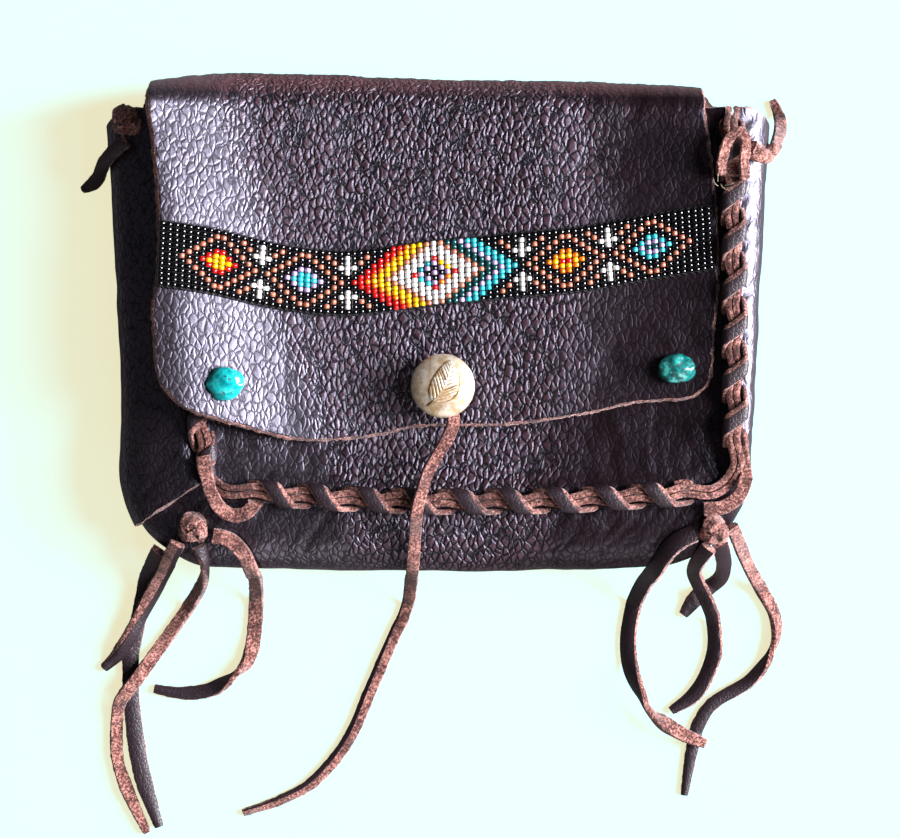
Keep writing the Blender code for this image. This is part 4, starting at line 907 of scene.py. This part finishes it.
def panelHide():
    shape = newShape()
    border = -(lipOffset + pouch["lipFillet"] + 1.2 * mm)
    leftPlaces = seam.places((leftSide, 0.0), (leftCorner, 0.5), sheetStep)
    basePlaces = seam.places((leftCorner, 0.5), (rightCorner, 0.5), sheetStep)
    rightCount = len(leftPlaces)
    rightAll = seam.places((rightCorner, 0.5), (rightSide, 1.0), sheetStep / 6)
    spread = (len(rightAll) - 1) / (rightCount - 1)
    rightPlaces = [rightAll[round(k * spread)] for k in range(rightCount)][::-1]
    sides = (leftPlaces, basePlaces, rightPlaces)
    left, foot, right = ([onSeam(*place, border, seamZ) for place in side] for side in sides)
    top = [left[0].lerp(right[0], j / (len(foot) - 1)) for j in range(len(foot))]
    rows, columns = len(left), len(foot)
    points = []
    for i in range(rows):
        v = i / (rows - 1)
        for j in range(columns):
            u = j / (columns - 1)
            flat = top[j] * (1 - v) + foot[j] * v + left[i] * (1 - u) + right[i] * u
            flat = flat - (top[0] * (1 - u) + top[-1] * u) * (1 - v) - (foot[0] * (1 - u) + foot[-1] * u) * v
            flat.z = seamZ - pouch["panelSag"] * (1 - (2 * u - 1) ** 2) * (1 - v ** 5)
            points.append(flat)
    faces = [face[::-1] for face in gridFaces(rows, columns)]
    round_ = [(p, i * columns) for i, p in enumerate(leftPlaces)]
    round_ += [(p, (rows - 1) * columns + j) for j, p in enumerate(basePlaces)][1:]
    round_ += [(p, i * columns + columns - 1) for i, p in enumerate(rightPlaces)][::-1][1:]
    lip = lipRows(-1)[::-1]
    previous = None
    for place, inner in round_:
        column = [inner] + [len(points) + k for k in range(len(lip))]
        points += [onSeam(*place, out, z) for out, z in lip]
        if previous:
            faces += [(previous[k], previous[k + 1], column[k + 1], column[k]) for k in range(len(lip))]
        previous = column

    def relief(place):
        inside = 1 - smoothStep((place[2] - seamZ - 0.4 * mm) / (2 * mm))
        return inside * (slack(place, 1.5) + wrinkles(place, "panel"))

    hideInto(shape, points, faces, relief, **bodyEdge)
    return fitHide("panel_hide", shape, "front_panel")


def coverZ(x, y):  # the middle of the flap's leather: high over the laced seam at its left, low at its right
    run = clamp((pouch["mouthY"] - y) / (pouch["mouthY"] - cover["hemY"]))
    middle, half, foot = (through(cover[name], run) for name in ("slopeMiddle", "slopeHalf", "slopeFoot"))
    at = min(foot, max(-90.0, x / mm))
    share = through(((-90.0, 1.0), (middle - half, 0.88), (middle + half, 0.16), (foot, 0.0)), at)
    return coverLow + (coverHigh - coverLow) * share + through(cover["billow"], x / mm) * mm


def hemY(x):
    share = (x - cover["left"]) / (cover["right"] - cover["left"])
    return cover["hemY"] + through(cover["hemWave"], share) * mm


def coverEdges(v):
    return [cover[side] + through(cover[side + "Wave"], v) * mm for side in ("left", "right")]


def cornerInset(radius, edgeX, v):
    hem = hemY(edgeX)
    depth = min(radius, max(0.0, hem + radius - (cover["startY"] + (hem - cover["startY"]) * v)))
    return radius - math.sqrt(radius * radius - depth * depth)


def foldLineY(x):
    return through(pouch["foldLine"], x / mm) * mm


def coverHide():
    shape = newShape()
    columns = round((cover["right"] - cover["left"]) / sheetStep)
    backHalf = pouch["topWidth"] / 2 - pouch["hide"] / 2 - pouch["backTuck"]
    half = pouch["hide"] / 2
    points, curlRows, foldRows = [], 9, 17
    foldLeft, foldRight = coverEdges(0)
    for i in range(curlRows):
        angle = math.pi / 2 * i / curlRows
        for j in range(columns + 1):
            across = 2 * j / columns - 1
            # the right shoulder is cut in sharply
            taper, cut = (pouch["curlTaperLeft"], 1.0) if across < 0 else (pouch["curlTaperRight"], 0.35)
            x = across * (backHalf - taper * (i / curlRows) ** cut)
            reach = foldLineY(x) - half - pouch["mouthY"]
            z = backZ + (foldZ - backZ) * (1 - math.cos(angle))
            points.append(Vector((x, pouch["mouthY"] + reach * math.sin(angle), z)))
    for i in range(foldRows):
        angle = math.pi / 2 * i / foldRows
        for j in range(columns + 1):
            u = j / columns
            x = foldLeft + (foldRight - foldLeft) * u + cover["flare"] * (2 * u - 1) * (1 - i / foldRows)
            reach = foldLineY(x) - half - cover["startY"]
            z = foldZ + (coverZ(x, cover["startY"]) - foldZ) * math.sin(angle)
            points.append(Vector((x, cover["startY"] + reach * math.cos(angle), z)))
    rowsDown = round((cover["startY"] - cover["hemY"]) / sheetStep)
    for i in range(rowsDown + 1):
        v = i / rowsDown
        left, right = coverEdges(v)
        left += cornerInset(cover["cornerLeft"], cover["left"], v)
        right -= cornerInset(cover["cornerRight"], cover["right"], v)
        for j in range(columns + 1):
            x = left + (right - left) * j / columns
            y = cover["startY"] + (hemY(x) - cover["startY"]) * v
            points.append(Vector((x, y, coverZ(x, y))))
    faces = [face[::-1] for face in gridFaces(curlRows + foldRows + rowsDown + 1, columns + 1)]

    def relief(place):
        nearFold = smoothStep((place[1] - 58 * mm) / (16 * mm))
        awayFromBand = 1 - 0.7 * smoothStep(1 - abs(place[1] - 20 * mm) / (20 * mm))
        drawnTight = 1 - 0.65 * smoothStep((-40 * mm - place[0]) / (20 * mm))
        soft = slack(place, 1.1 * awayFromBand * drawnTight) + wrinkles(place, "fold", nearFold)
        return smoothStep((place[2] - backZ) / (2 * mm)) * soft

    hideInto(shape, points, faces, relief, range(columns + 1), **coverEdge)
    piece = meshObject("cover_hide", shape, [leather, suede, fleshSide])
    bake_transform(piece)
    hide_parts("flap")
    return piece


bodyHide()
panelHide()
coverHide()
print("hide cut and folded")


# Whip lacing: through both lips at a slit, up, aslant over the ridge and down to the next slit
def refined(rings, parts):  # more rings between the given ones, on smooth curves through them
    centres = [ring[0] for ring in rings]
    found = []
    for i in range(len(rings) - 1):
        a, b = centres[i], centres[i + 1]
        before, after = centres[max(i - 1, 0)], centres[min(i + 2, len(rings) - 1)]
        reach = (b - a).length
        slopeA = (b - before).normalized() * reach * 0.8
        slopeB = (after - a).normalized() * reach * 0.8
        count = max(1, min(parts, round(reach / (0.35 * mm))))
        for k in range(count):
            s = k / count
            across, out = (rings[i][part].lerp(rings[i + 1][part], s) for part in (1, 2))
            found.append((onCurve(a, b, slopeA, slopeB, s), across, out))
    return found + [rings[-1]]


def lacingPiece(name, stretch, lead=(), over=1.0, lastBand=False):
    rings = [(centre, -across, out) for centre, across, out in lead]
    up = Vector((0, 0, 1))
    bend = 0.1 * mm + lacing["thickness"] / 2
    slitZ = (slitLow + slitHigh) / 2

    # way out, height, and how far the grain side faces out and up
    throughSlit = (
        (laceOffset, slitZ + bend, 1, 0), (laceOffset - bend, slitZ, 0, -1),
        (bend - laceOffset, slitZ, 0, -1), (-laceOffset, slitZ + bend, -1, 0),
    )
    overRidge = (  # the same, after the share of the pitch
        (0.30, -laceOffset, laceTop - bend, -1, 0), (0.37, bend - laceOffset, laceTop, -0.35, 1),
        (0.50, 0, laceTop + 0.15 * mm, 0, 1),
        (0.63, laceOffset - bend, laceTop, 0.35, 1), (0.70, laceOffset, laceTop - bend, 1, 0),
    )

    def place(fraction, width, out, z, facesOut, facesUp):
        normal = seam.outward(stretch, fraction).to_3d()
        across = Vector((-normal.y, normal.x, 0)) * width
        rings.append((onSeam(stretch, fraction, out, z), across, normal * facesOut + up * facesUp))

    slits = slitCentres(stretch)
    pitch = slits[1] - slits[0]
    for k, at in enumerate(slits):
        for where in throughSlit:
            place(at, lacing["width"], *where)
        if k < len(slits) - 1 or lastBand:
            drift = chance.uniform(-0.04, 0.04)
            wide = lacing["width"] * chance.uniform(1.02, 1.2)
            for share, *where in overRidge:
                place(at + (share + drift) * pitch, wide, *where)
    rings = refined(rings, 5)
    shape = newShape()
    stripInto(shape, rings, lacing["thickness"], lacing["fuzz"], over)
    fibresAlong(shape, rings, lacing["fibresPerMm"], lacing["fibre"], lacing["thickness"])
    return lacePiece(name, "_strip", shape)


cornerLoops = (  # the lace's turn round each corner of the ridge, on the wing with its suede up: routes in mm
    (
        (-74.2, -41.8, 34.4), (-73.0, -48.2, 34.2), (-71.6, -53.6, 33.2), (-69.0, -58.4, 31.6),
        (-65.2, -60.8, 31.0), (-61.4, -60.2, 31.0), (-58.6, -58.0, 31.4),
    ),
    ((84.5, -58.8, 31.2), (90.5, -58.2, 31.0), (95.6, -54.6, 31.0), (98.0, -48.5, 31.2)),
)
loopLeft, loopRight = (
    laceRings(route, ((0, 0), (1, 0)), lacing["loopWidth"], lacing["loopStep"], lacing["thickness"])
    for route in cornerLoops
)
lacingPiece("lacing_left", leftSide, over=0.22, lastBand=True)
lacingPiece("lacing_bottom", base, loopLeft, over=0.2)
lacingPiece("lacing_right", rightSide, loopRight, over=0.24)


knot = {
    "size": 9.6 * mm, "width": 3.9 * mm, "thickness": 1.6 * mm, "rings": 120,
    "fuzz": 0.45 * mm, "fibresPerMm": 2.6, "fibre": 1.1 * mm, "rootedIn": 1.4 * mm,
}
knots = {  # centres in mm, at the corners of the ridge
    "knot_left": (-78.0, -65.3, 28.9), "knot_right": (88.2, -66.2, 28.5),
    "knot_top_left": (-99.2, 64.5, 29.4),
}


def knotPiece(name, centre):
    shape = newShape()
    scale = knot["size"] / 12.8  # the spine is drawn for a knot of 12.8
    turn = chance.uniform(0, 2)

    def spine(t):  # pulled tight and uneven, so that its turns lie over each other
        swell = 3.0 + 1.6 * math.cos(3 * t) + 0.7 * math.sin(t + turn)
        lift = 2.0 * math.sin(3 * t) + 0.5 * math.cos(2 * t)
        return Vector((swell * math.cos(2 * t + turn) * 1.12, swell * math.sin(2 * t + turn), lift)) * scale

    rings = []
    for i in range(knot["rings"] + 1):
        t = 2 * math.pi * i / knot["rings"]
        along = (spine(t + 0.01) - spine(t - 0.01)).normalized()
        rolled = Vector((math.sin(2.3 * t + turn), math.cos(3.1 * t), 0)) * 0.7
        out = (spine(t).normalized() + rolled + Vector((0, 0, 0.8))).normalized()
        across = along.cross(out).normalized() * knot["width"] * (1 + 0.22 * math.sin(5 * t + turn))
        rings.append((Vector(centre) * mm + spine(t), across, along.cross(across)))
    stripInto(shape, rings, knot["thickness"], knot["fuzz"], 0.42)
    fibresAlong(shape, rings, knot["fibresPerMm"], knot["fibre"], knot["rootedIn"])
    return lacePiece(name, "_tied", shape)


for knotName, knotCentre in knots.items():
    knotPiece(knotName, knotCentre)


# The last turn at the top right: the lace arches over the ridge, suede up, and dives into a hole in the wing.
# Its arch, tongue and bulge each have width, thickness, fuzz and fibre in mm, rolls and a route in mm.
arch = (
    (3.3, 1.5, 0.34, 1.3, ((0, -30), (0.4, 0), (0.7, 12), (1, 30)), (
        (89.6, 47.0, 34.0), (89.6, 51.6, 35.8), (91.2, 57.0, 37.0), (93.8, 60.0, 37.4), (96.4, 59.0, 37.2),
        (96.9, 55.0, 36.6), (96.5, 50.6, 35.8), (97.0, 45.6, 33.6),
    )),
    (5.4, 1.5, 0.34, 1.0, ((0, 10), (1, -10)), ((93.6, 57.6, 31.2), (93.2, 52.0, 32.9), (92.8, 46.6, 32.9))),
    (4.6, 1.8, 0.4, 1.1, ((0, -25), (1, 20)), (
        (98.4, 56.4, 32.8), (99.6, 54.6, 34.2), (101.6, 53.2, 34.4), (103.8, 53.0, 33.2), (105.6, 54.6, 31.0),
        (105.4, 56.6, 29.6),
    )),
)


def archPiece():
    shape = newShape()
    for width, thickness, fuzz, fibre, rolls, route in arch:
        rings = laceRings(route, rolls, width * mm, 0.8 * mm, thickness * mm)
        stripInto(shape, rings, thickness * mm, fuzz * mm)
        fibresAlong(shape, rings, 3.0, fibre * mm, thickness * mm)
    for _ in range(5):  # frayed ends of the waxed thread under it
        root = Vector((chance.uniform(88.4, 91.0), chance.uniform(42.5, 45.0), 35.0)) * mm
        way = Vector([chance.uniform(*ends) for ends in ((-0.4, 1), (-0.5, 0.7), (0, 0.4))]).normalized()
        middle = root + way * 1.6 * mm + Vector((0, 0, 0.3 * mm))
        end = middle + (way + Vector((0.3, 0.5, 0))).normalized() * 1.6 * mm
        tubeInto(shape, smoothRoute([root, middle, end], 0.6 * mm), 0.11 * mm, 2, 5)
    return lacePiece("knot_top_right", "_arch", shape, more=[paleThread])


archPiece()
print("seams laced and knots tied")


# Loomed band of glass seed beads
band = {
    "columns": 83, "rows": 13, "beadLength": 1.55 * mm, "endMargin": 1.2 * mm, "beadDiameter": 2.02 * mm,
    "sides": 10, "warp": 0.13 * mm, "stitch": 0.16 * mm,  # the last two are the radii of the threads
    # a bead's shape from end to end, as (share of its radius, share of its length)
    "profile": (
        (0.40, -0.47), (0.80, -0.45), (0.98, -0.22), (1.0, 0.0), (0.98, 0.22), (0.80, 0.45), (0.40, 0.47),
    ),
    "line": (  # the band's middle in mm, from the flap's left edge (0) to its right edge (1)
        (0.00, 21.4), (0.09, 19.5), (0.18, 16.1), (0.24, 14.3), (0.32, 13.2), (0.39, 14.0), (0.49, 16.4),
        (0.57, 17.6), (0.64, 18.8), (0.76, 20.7), (0.88, 24.4), (1.00, 27.6),
    ),
}
beadColours = {  # sRGB hex and roughness: opaque glass, the dark ones with a hard shine
    "black": ("050507", 0.06), "white": ("F4F2EC", 0.2), "lilac": ("BFA6D0", 0.18),
    "red": ("E0140F", 0.16), "orange": ("FF7A0A", 0.16), "yellow": ("FFC800", 0.18),
    "copper": ("C4755A", 0.22), "turquoise": ("35C6D0", 0.16), "teal": ("0E7F86", 0.14),
    "green": ("0C4A4A", 0.12),
}


def centreMotif(dx, dy):  # the long diamond in the middle of the band
    d = abs(dx) + abs(dy)
    if d > 12:
        return None
    if d < 4:
        ring = "teal" if dy < 0 else "turquoise"
        if dx > 0:
            ring = "yellow" if dy < 0 else "orange"
        return ("lilac", "black", "lilac", "red" if dx * dy == 0 else ring)[d]
    if d < 8:
        return "copper" if d == 7 else "white"
    if dx < 0:
        return "yellow" if d < 10 else "orange" if d == 10 else "red"
    return "green" if d < 10 else "lilac" if d == 10 else "turquoise"


smallMotifs = {  # middle column: colours from the middle outwards by steps
    8.5: ("yellow", "yellow", "red", "black", "black", "copper"),
    21.5: ("turquoise", "turquoise", "lilac", "black", "black", "copper"),
    60.5: ("red", "yellow", "orange", "black", "black", "copper"),
    73.5: ("green", "lilac", "turquoise", "black", "black", "copper"),
}
crossColumns = (15, 28, 54, 67)


def beadName(column, row):
    dy = row - 6
    found = centreMotif(column - 41, dy)
    if found:
        return found
    for middle in crossColumns:
        for top, low, centreRow in ((1, 4, 3), (8, 11, 9)):
            if (column == middle and top <= row <= low) or (row == centreRow and abs(column - middle) == 1):
                return "white"
    for middle, colours in smallMotifs.items():
        d = int(abs(column - middle) - 0.5 + abs(dy))
        if d < len(colours):
            return colours[d]
    if any((abs(column - middle), abs(dy)) in ((2, 4), (3, 5)) for middle in crossColumns):
        return "copper"  # a frame of single beads round each cross
    return "black"


def beadMaterial(name, hexColour, roughness):
    # Opaque seed bead glass, drawn and tumbled: full colour with a hard wet shine, each bead a shade apart.
    shine = {"Roughness": roughness, "IOR": 1.52, "Coat_Weight": 0.6, "Coat_Roughness": 0.05}
    made, tree, shader = newMaterial("seed bead glass, " + name, **shine)
    blotch = addNoise(tree, addNode(tree, "TexCoord").outputs["Object"], 1 / 0.0021, 1.0)
    value = addRange(tree, blotch, (0.3, 0.7), (0.82, 1.12))
    tone = addNode(tree, "HueSaturation", {"Color": linear(hexColour), "Value": value})
    plug(tree, shader, Base_Color=tone.outputs[0])
    return made


def bandY(u):
    return through(band["line"], u) * mm


def beadInto(shape, centre, axis, up, radius, length, finish):
    side = axis.cross(up).normalized()
    up = side.cross(axis).normalized()
    verts = [
        centre + axis * length * z + (side * a + up * b) * radius * r
        for r, z in band["profile"] for a, b in circle(band["sides"])
    ]
    addPart(shape, verts, tubeFaces(len(band["profile"]), band["sides"]), finish)


def evenPlaces(left, right, count):  # shares from 0 to 1 that are evenly spread over the flap's rise and fall
    steps = 400
    shares = [i / steps for i in range(steps + 1)]
    flat = [(left + (right - left) * u, bandY(u)) for u in shares]
    line = [Vector((x, y, coverZ(x, y))) for x, y in flat]
    along = [0.0]
    for a, b in zip(line, line[1:]):
        along.append(along[-1] + (b - a).length)
    return np.interp([(k + 0.5) / count * along[-1] for k in range(count)], along, shares).tolist()


def beadBand():
    shape = newShape()
    names = list(beadColours)
    left, right = cover["left"] + band["endMargin"], cover["right"] - band["endMargin"]
    radius, length = band["beadDiameter"] / 2, band["beadLength"]
    lines = []
    for u in evenPlaces(left, right, band["columns"]):
        x = left + (right - left) * u
        slope = (bandY(u + 0.004) - bandY(u - 0.004)) / (0.008 * (right - left))
        lean = 0.35 * slope  # the columns follow the flap's stretch only in part
        axis = Vector((lean, -1, 0)).normalized()
        line = []
        for row in range(band["rows"]):
            place = Vector((x, bandY(u), 0)) + axis * (row - (band["rows"] - 1) / 2) * length
            place.x += chance.uniform(-0.07, 0.07) * mm
            place.y += chance.uniform(-0.05, 0.05) * mm
            place.z = coverZ(place.x, place.y) + onHide + radius * 0.8 + chance.uniform(-0.06, 0.06) * mm
            tilt = Vector((chance.uniform(-0.07, 0.07), 0, chance.uniform(-0.06, 0.06)))
            size = radius * chance.uniform(0.94, 1.03)
            finish = names.index(beadName(len(lines), row))
            beadInto(shape, place, (axis + tilt).normalized(), Vector((0, 0, 1)), size, length * 0.98, finish)
            line.append(place)
        lines.append(line)
    thread = len(names)
    for row in range(band["rows"] + 1):  # the warps run between the rows of beads
        path = []
        for column in range(-1, band["columns"] + 1):
            u = clamp((column + 0.5) / band["columns"])
            x, y = left + (right - left) * u, bandY(u) - (row - band["rows"] / 2) * length
            path.append(Vector((x, y, coverZ(x, y) + onHide + radius * 0.75)))
        tubeInto(shape, path, band["warp"], thread, 4)
    for row, side in ((0, 1), (-1, -1)):  # whip stitches along both edges
        way = Vector((0, side, 0))
        edge = [line[row] for line in lines]
        for a, b in zip(edge, edge[1:]):
            start = a + way * 0.55 * length
            end = a.lerp(b, 0.75) + way * 1.35 * mm
            end.z = coverZ(end.x, end.y) + pouch["hide"] / 2 - 0.1 * mm
            middle = start.lerp(end, 0.5) + Vector((0, 0, 0.45 * mm))
            stitch = [start - way * 0.5 * mm, start + Vector((0, 0, 0.35 * mm)), middle, end]
            tubeInto(shape, stitch, band["stitch"], thread, 5)
    finishes = [beadMaterial(name, *values) for name, values in beadColours.items()] + [blackThread]
    return fit(meshObject("beads_on_loom", shape, finishes), "cover", "beads", "bead_band")


beadBand()
print("band beaded")


# Domed button with a stamped feather, rubbed low, on its screw post
button = {
    "place": (1.6 * mm, -19.7 * mm), "radius": 10.15 * mm, "lift": 4.0 * mm, "rim": 1.4 * mm,
    "dome": 3.2 * mm, "relief": 0.5 * mm, "rings": 110, "sectors": 260,
}
# in shares of the button's radius, but for the lean and the barbs, which say how closely they lie
feather = {"lean": math.radians(62), "bend": 0.30, "wide": 0.42, "foot": -0.56, "tip": 0.82, "barbs": 44}


def silverMaterial(name, bright, dull, roughness, grime):
    # Stamped silver plate, rubbed on its high places: warm grey shine with fine scratches and brown tarnish.
    made, tree, shader = newMaterial(name, Metallic=0.72)
    inMm = placeInMm(tree)
    stains = addNoise(tree, inMm, 0.35, 5.0, roughness=0.65)
    drawn = {"Vector": inMm, "Rotation": (0, 0, 0.6), "Scale": (9, 0.9, 2)}
    scratches = addNoise(tree, addNode(tree, "Mapping", drawn).outputs[0], 1.0, 2.0)
    colour = addRamp(tree, stains, ((0.40 - grime, dull), (0.62 - grime, bright)))
    rough = addRange(tree, scratches, (0.0, 1.0), (roughness - 0.1, roughness + 0.14))
    plug(tree, shader, Base_Color=colour, Roughness=rough, Normal=addBump(tree, scratches, 0.02 * mm, 0.6))
    return made


silverHigh = silverMaterial("silver plate, stamped and rubbed", "F4EAD6", "CFB084", 0.45, 0.0)
silverLow = silverMaterial("silver plate, tarnished recess", "A88C5E", "6E552F", 0.55, 0.0)


def buttonRelief(x, y):  # x and y from -1 to 1: the stamping's height from 0 to 1, and if grime sits there
    u = x * math.cos(feather["lean"]) + y * math.sin(feather["lean"])
    v = y * math.cos(feather["lean"]) - x * math.sin(feather["lean"]) - feather["bend"] * (u * u - 0.2)
    share = (u - feather["foot"]) / (feather["tip"] - feather["foot"])
    quill = max(0.0, 1 - abs(v) / 0.045) if -0.78 < u < 0.6 else 0.0
    if not 0 < share < 1:
        return 0.8 * quill, 0 < abs(v) < 0.07 and -0.78 < u < 0
    half = feather["wide"] * math.sin(math.pi * share ** 0.8) ** 0.6
    way = (u - 1.1 * abs(v)) * feather["barbs"] + (2 if v > 0 else 0)
    torn = abs(u - 1.1 * abs(v) - (0.12 if v > 0 else -0.16)) < 0.022 and abs(v) > 0.06
    inside = 1 - abs(v) / half
    if inside < 0 or torn:
        return 0.0, inside > -0.14
    barb = 0.5 + 0.5 * math.sin(way)
    height = 0.25 + 0.55 * inside ** 0.5 - 0.28 * barb ** 3 * (0.4 + 0.6 * inside)
    return max(height, 0.95 * quill), barb > 0.93 and quill < 0.2


def buttonCap():
    rings, sectors = button["rings"], button["sectors"]
    seat = coverZ(*button["place"]) + pouch["hide"] / 2 + button["lift"]
    centre = Vector((*button["place"], seat))
    verts, low = [], []
    for i in range(rings + 1):
        r = i / rings
        crown = button["dome"] * (math.sqrt(max(0.0, 1 - (r * 0.985) ** 2)) * 1.05 - 0.05)
        for a, b in circle(sectors):
            relief, grimy = buttonRelief(r * a, r * b) if r < 0.92 else (0.0, False)
            dent = 0.10 * mm * wobble((r * a, r * b, 0), 0.35, 5.0)
            z = button["rim"] + crown + relief * button["relief"] + dent
            verts.append(centre + Vector((a * r * button["radius"], b * r * button["radius"], z)))
            low.append(grimy)
    turnedIn = ((1.0, 0.5 * button["rim"]), (0.985, 0.1 * mm), (0.95, 0.0), (0.2, 0.0))
    for share, z in turnedIn:  # the rim and the flat back
        radius = share * button["radius"]
        verts += [centre + Vector((a * radius, b * radius, z)) for a, b in circle(sectors)]
        low += [False] * sectors
    last = rings + len(turnedIn)
    faces = gridFaces(last + 1, sectors, closed=True)
    finish = [1 if sum(low[v] for v in face) >= 3 else 0 for face in faces] + [0]
    faces.append(tuple(last * sectors + k for k in range(sectors)))
    shape = {"verts": [tuple(v) for v in verts], "faces": faces, "finish": finish}
    piece = meshObject("button_cap", shape, [silverHigh, silverLow], 40)
    return fit(piece, "cover", "silver", "concho_button")


buttonCap()
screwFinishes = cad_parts["concho_screw"].data.materials
screwFinishes.clear()
screwFinishes.append(silverMaterial("nickelled brass screw", "C8C2B4", "9A8F78", 0.3, 0.1))
print("button stamped")


# Tumbled turquoise nuggets, sewn down
nuggets = {  # node: centre and size in mm, phase, bright and deep colour, and where the matrix starts
    "turquoise_left": ((-66.3, -19.0), (12.1, 10.4, 6.2), 0.4, "17C6C2", "0C8C92", 0.52),
    "turquoise_right": ((75.9, -14.2), (11.7, 9.1, 5.8), 2.3, "127E77", "074543", 0.44),
}


def turquoiseStone(name, bright, deep, matrix):
    # Tumble-polished turquoise: blotchy blue-green body, a web of brown host rock, glassy wax polish.
    made, tree, shader = newMaterial(name, IOR=1.55, Coat_Weight=0.5, Coat_Roughness=0.08)
    inMm = placeInMm(tree)
    clouds = addNoise(tree, inMm, 0.45, 4.0)
    body = addRamp(tree, clouds, ((0.34, deep), (0.55, bright), (0.72, "4FC9BC")))
    drift = addNoise(tree, inMm, 0.6, 3.0, output="Color")
    warped = addVector(tree, "MULTIPLY_ADD", drift, (5, 5, 5), inMm)
    thin = addRange(tree, addCells(tree, warped, 0.34), (0.0, 0.07), (1.0, 0.0))
    patch = addRange(tree, addNoise(tree, inMm, 0.8, 3.0), (matrix, matrix + 0.08))
    veins = addMath(tree, "MULTIPLY", thin, patch)
    veined = {"Factor": veins, 6: body, 7: linear("2E211C")}
    colour = addNode(tree, "Mix", veined, data_type="RGBA").outputs[2]
    rough = addRange(tree, veins, (0.0, 1.0), (0.16, 0.5))
    plug(tree, shader, Base_Color=colour, Roughness=rough, Normal=addBump(tree, veins, -0.12 * mm, 0.8))
    return made


def nuggetStone(name, centre, size, phase, bright, deep, matrix):
    rows, columns = 40, 72
    half = [v * mm / 2 for v in size]
    middle = Vector((centre[0] * mm, centre[1] * mm, 0))
    middle.z = coverZ(middle.x, middle.y) + onHide + 0.64 * half[2]
    shape, verts = newShape(), []
    for i in range(rows + 1):
        polar = math.pi * (0.004 + 0.992 * i / rows)
        for a, b in circle(columns):
            n = Vector((math.sin(polar) * a, math.sin(polar) * b, math.cos(polar)))
            bump = 1 + 0.07 * math.sin(3.1 * n.x + phase) * math.cos(2.7 * n.y - phase)
            bump += 0.05 * math.sin(5 * n.y + 4 * n.z + 2 * phase)
            bump += 0.09 * wobble(n, 0.7, phase) + 0.03 * wobble(n, 0.25, phase)
            flattened = max(n.z * bump, -0.64)  # where it lies on the hide
            verts.append(middle + Vector((n.x * bump * half[0], n.y * bump * half[1], flattened * half[2])))
    addPart(shape, verts, tubeFaces(rows + 1, columns), 0)
    stone = turquoiseStone("turquoise, tumbled " + name[-5:].strip("_"), bright, deep, matrix)
    return fit(meshObject(name + "_stone", shape, [stone], 80), "cover", "turquoise", name)


for nuggetName, nuggetValues in nuggets.items():
    nuggetStone(nuggetName, *nuggetValues)
print("nuggets set")


# Belt loops on the back
beltLoop = {
    "width": 28 * mm, "x": 52 * mm, "y": -4 * mm, "flat": 40 * mm, "ramp": 5 * mm, "tab": 9 * mm,
    "stitch": 3.2 * mm, "stitchRows": (2.4 * mm, 6.6 * mm),  # in from each end
    "stitchInset": 2.5 * mm, "thread": 0.28 * mm,
    "rawEdge": {"flare": 0.15 * mm, "rough": 0.1 * mm, "fibres": 0.6},
}


def beltStrap(side):
    name = "belt_loop_left" if side < 0 else "belt_loop_right"
    half = beltLoop["flat"] / 2
    tabZ, strapZ = backZ - pouch["hide"] - pouch["clear"], pouch["hide"] / 2
    reach = half + beltLoop["ramp"] + beltLoop["tab"]
    rows, columns = 64, 26
    points = []
    for i in range(rows + 1):
        y = -reach + 2 * reach * i / rows
        rise = smoothStep((abs(y) - half) / beltLoop["ramp"])
        z = strapZ + (tabZ - strapZ) * rise
        for k in range(columns + 1):
            x = (k / columns - 0.5) * beltLoop["width"]
            points.append(Vector((side * beltLoop["x"] + x, beltLoop["y"] + y, z)))
    shape = newShape()

    def relief(place):
        return 0.10 * mm * (wobble(place, 7 * mm, 3.0) - 0.6)

    faces = gridFaces(rows + 1, columns + 1)
    hideInto(shape, points, faces, relief, **beltLoop["rawEdge"])
    count = round((beltLoop["width"] - 2 * beltLoop["stitchInset"]) / beltLoop["stitch"])
    first = side * beltLoop["x"] - beltLoop["width"] / 2 + beltLoop["stitchInset"]
    low = tabZ - pouch["hide"] / 2
    for end in (-1, 1):
        for inset in beltLoop["stitchRows"]:
            y = beltLoop["y"] + end * (reach - inset)
            for k in range(count):
                x = first + beltLoop["stitch"] * (k + 0.12)
                bow = ((0, 0.3), (0.4, -0.15), (2.0, -0.15), (2.4, 0.3))
                run = [Vector((x + along * mm, y, low + up * mm)) for along, up in bow]
                tubeInto(shape, run, beltLoop["thread"], 3)
    return fitHide(name + "_strap", shape, name, more=[blackThread])


beltStrap(-1)
beltStrap(1)
print("belt loops sewn")
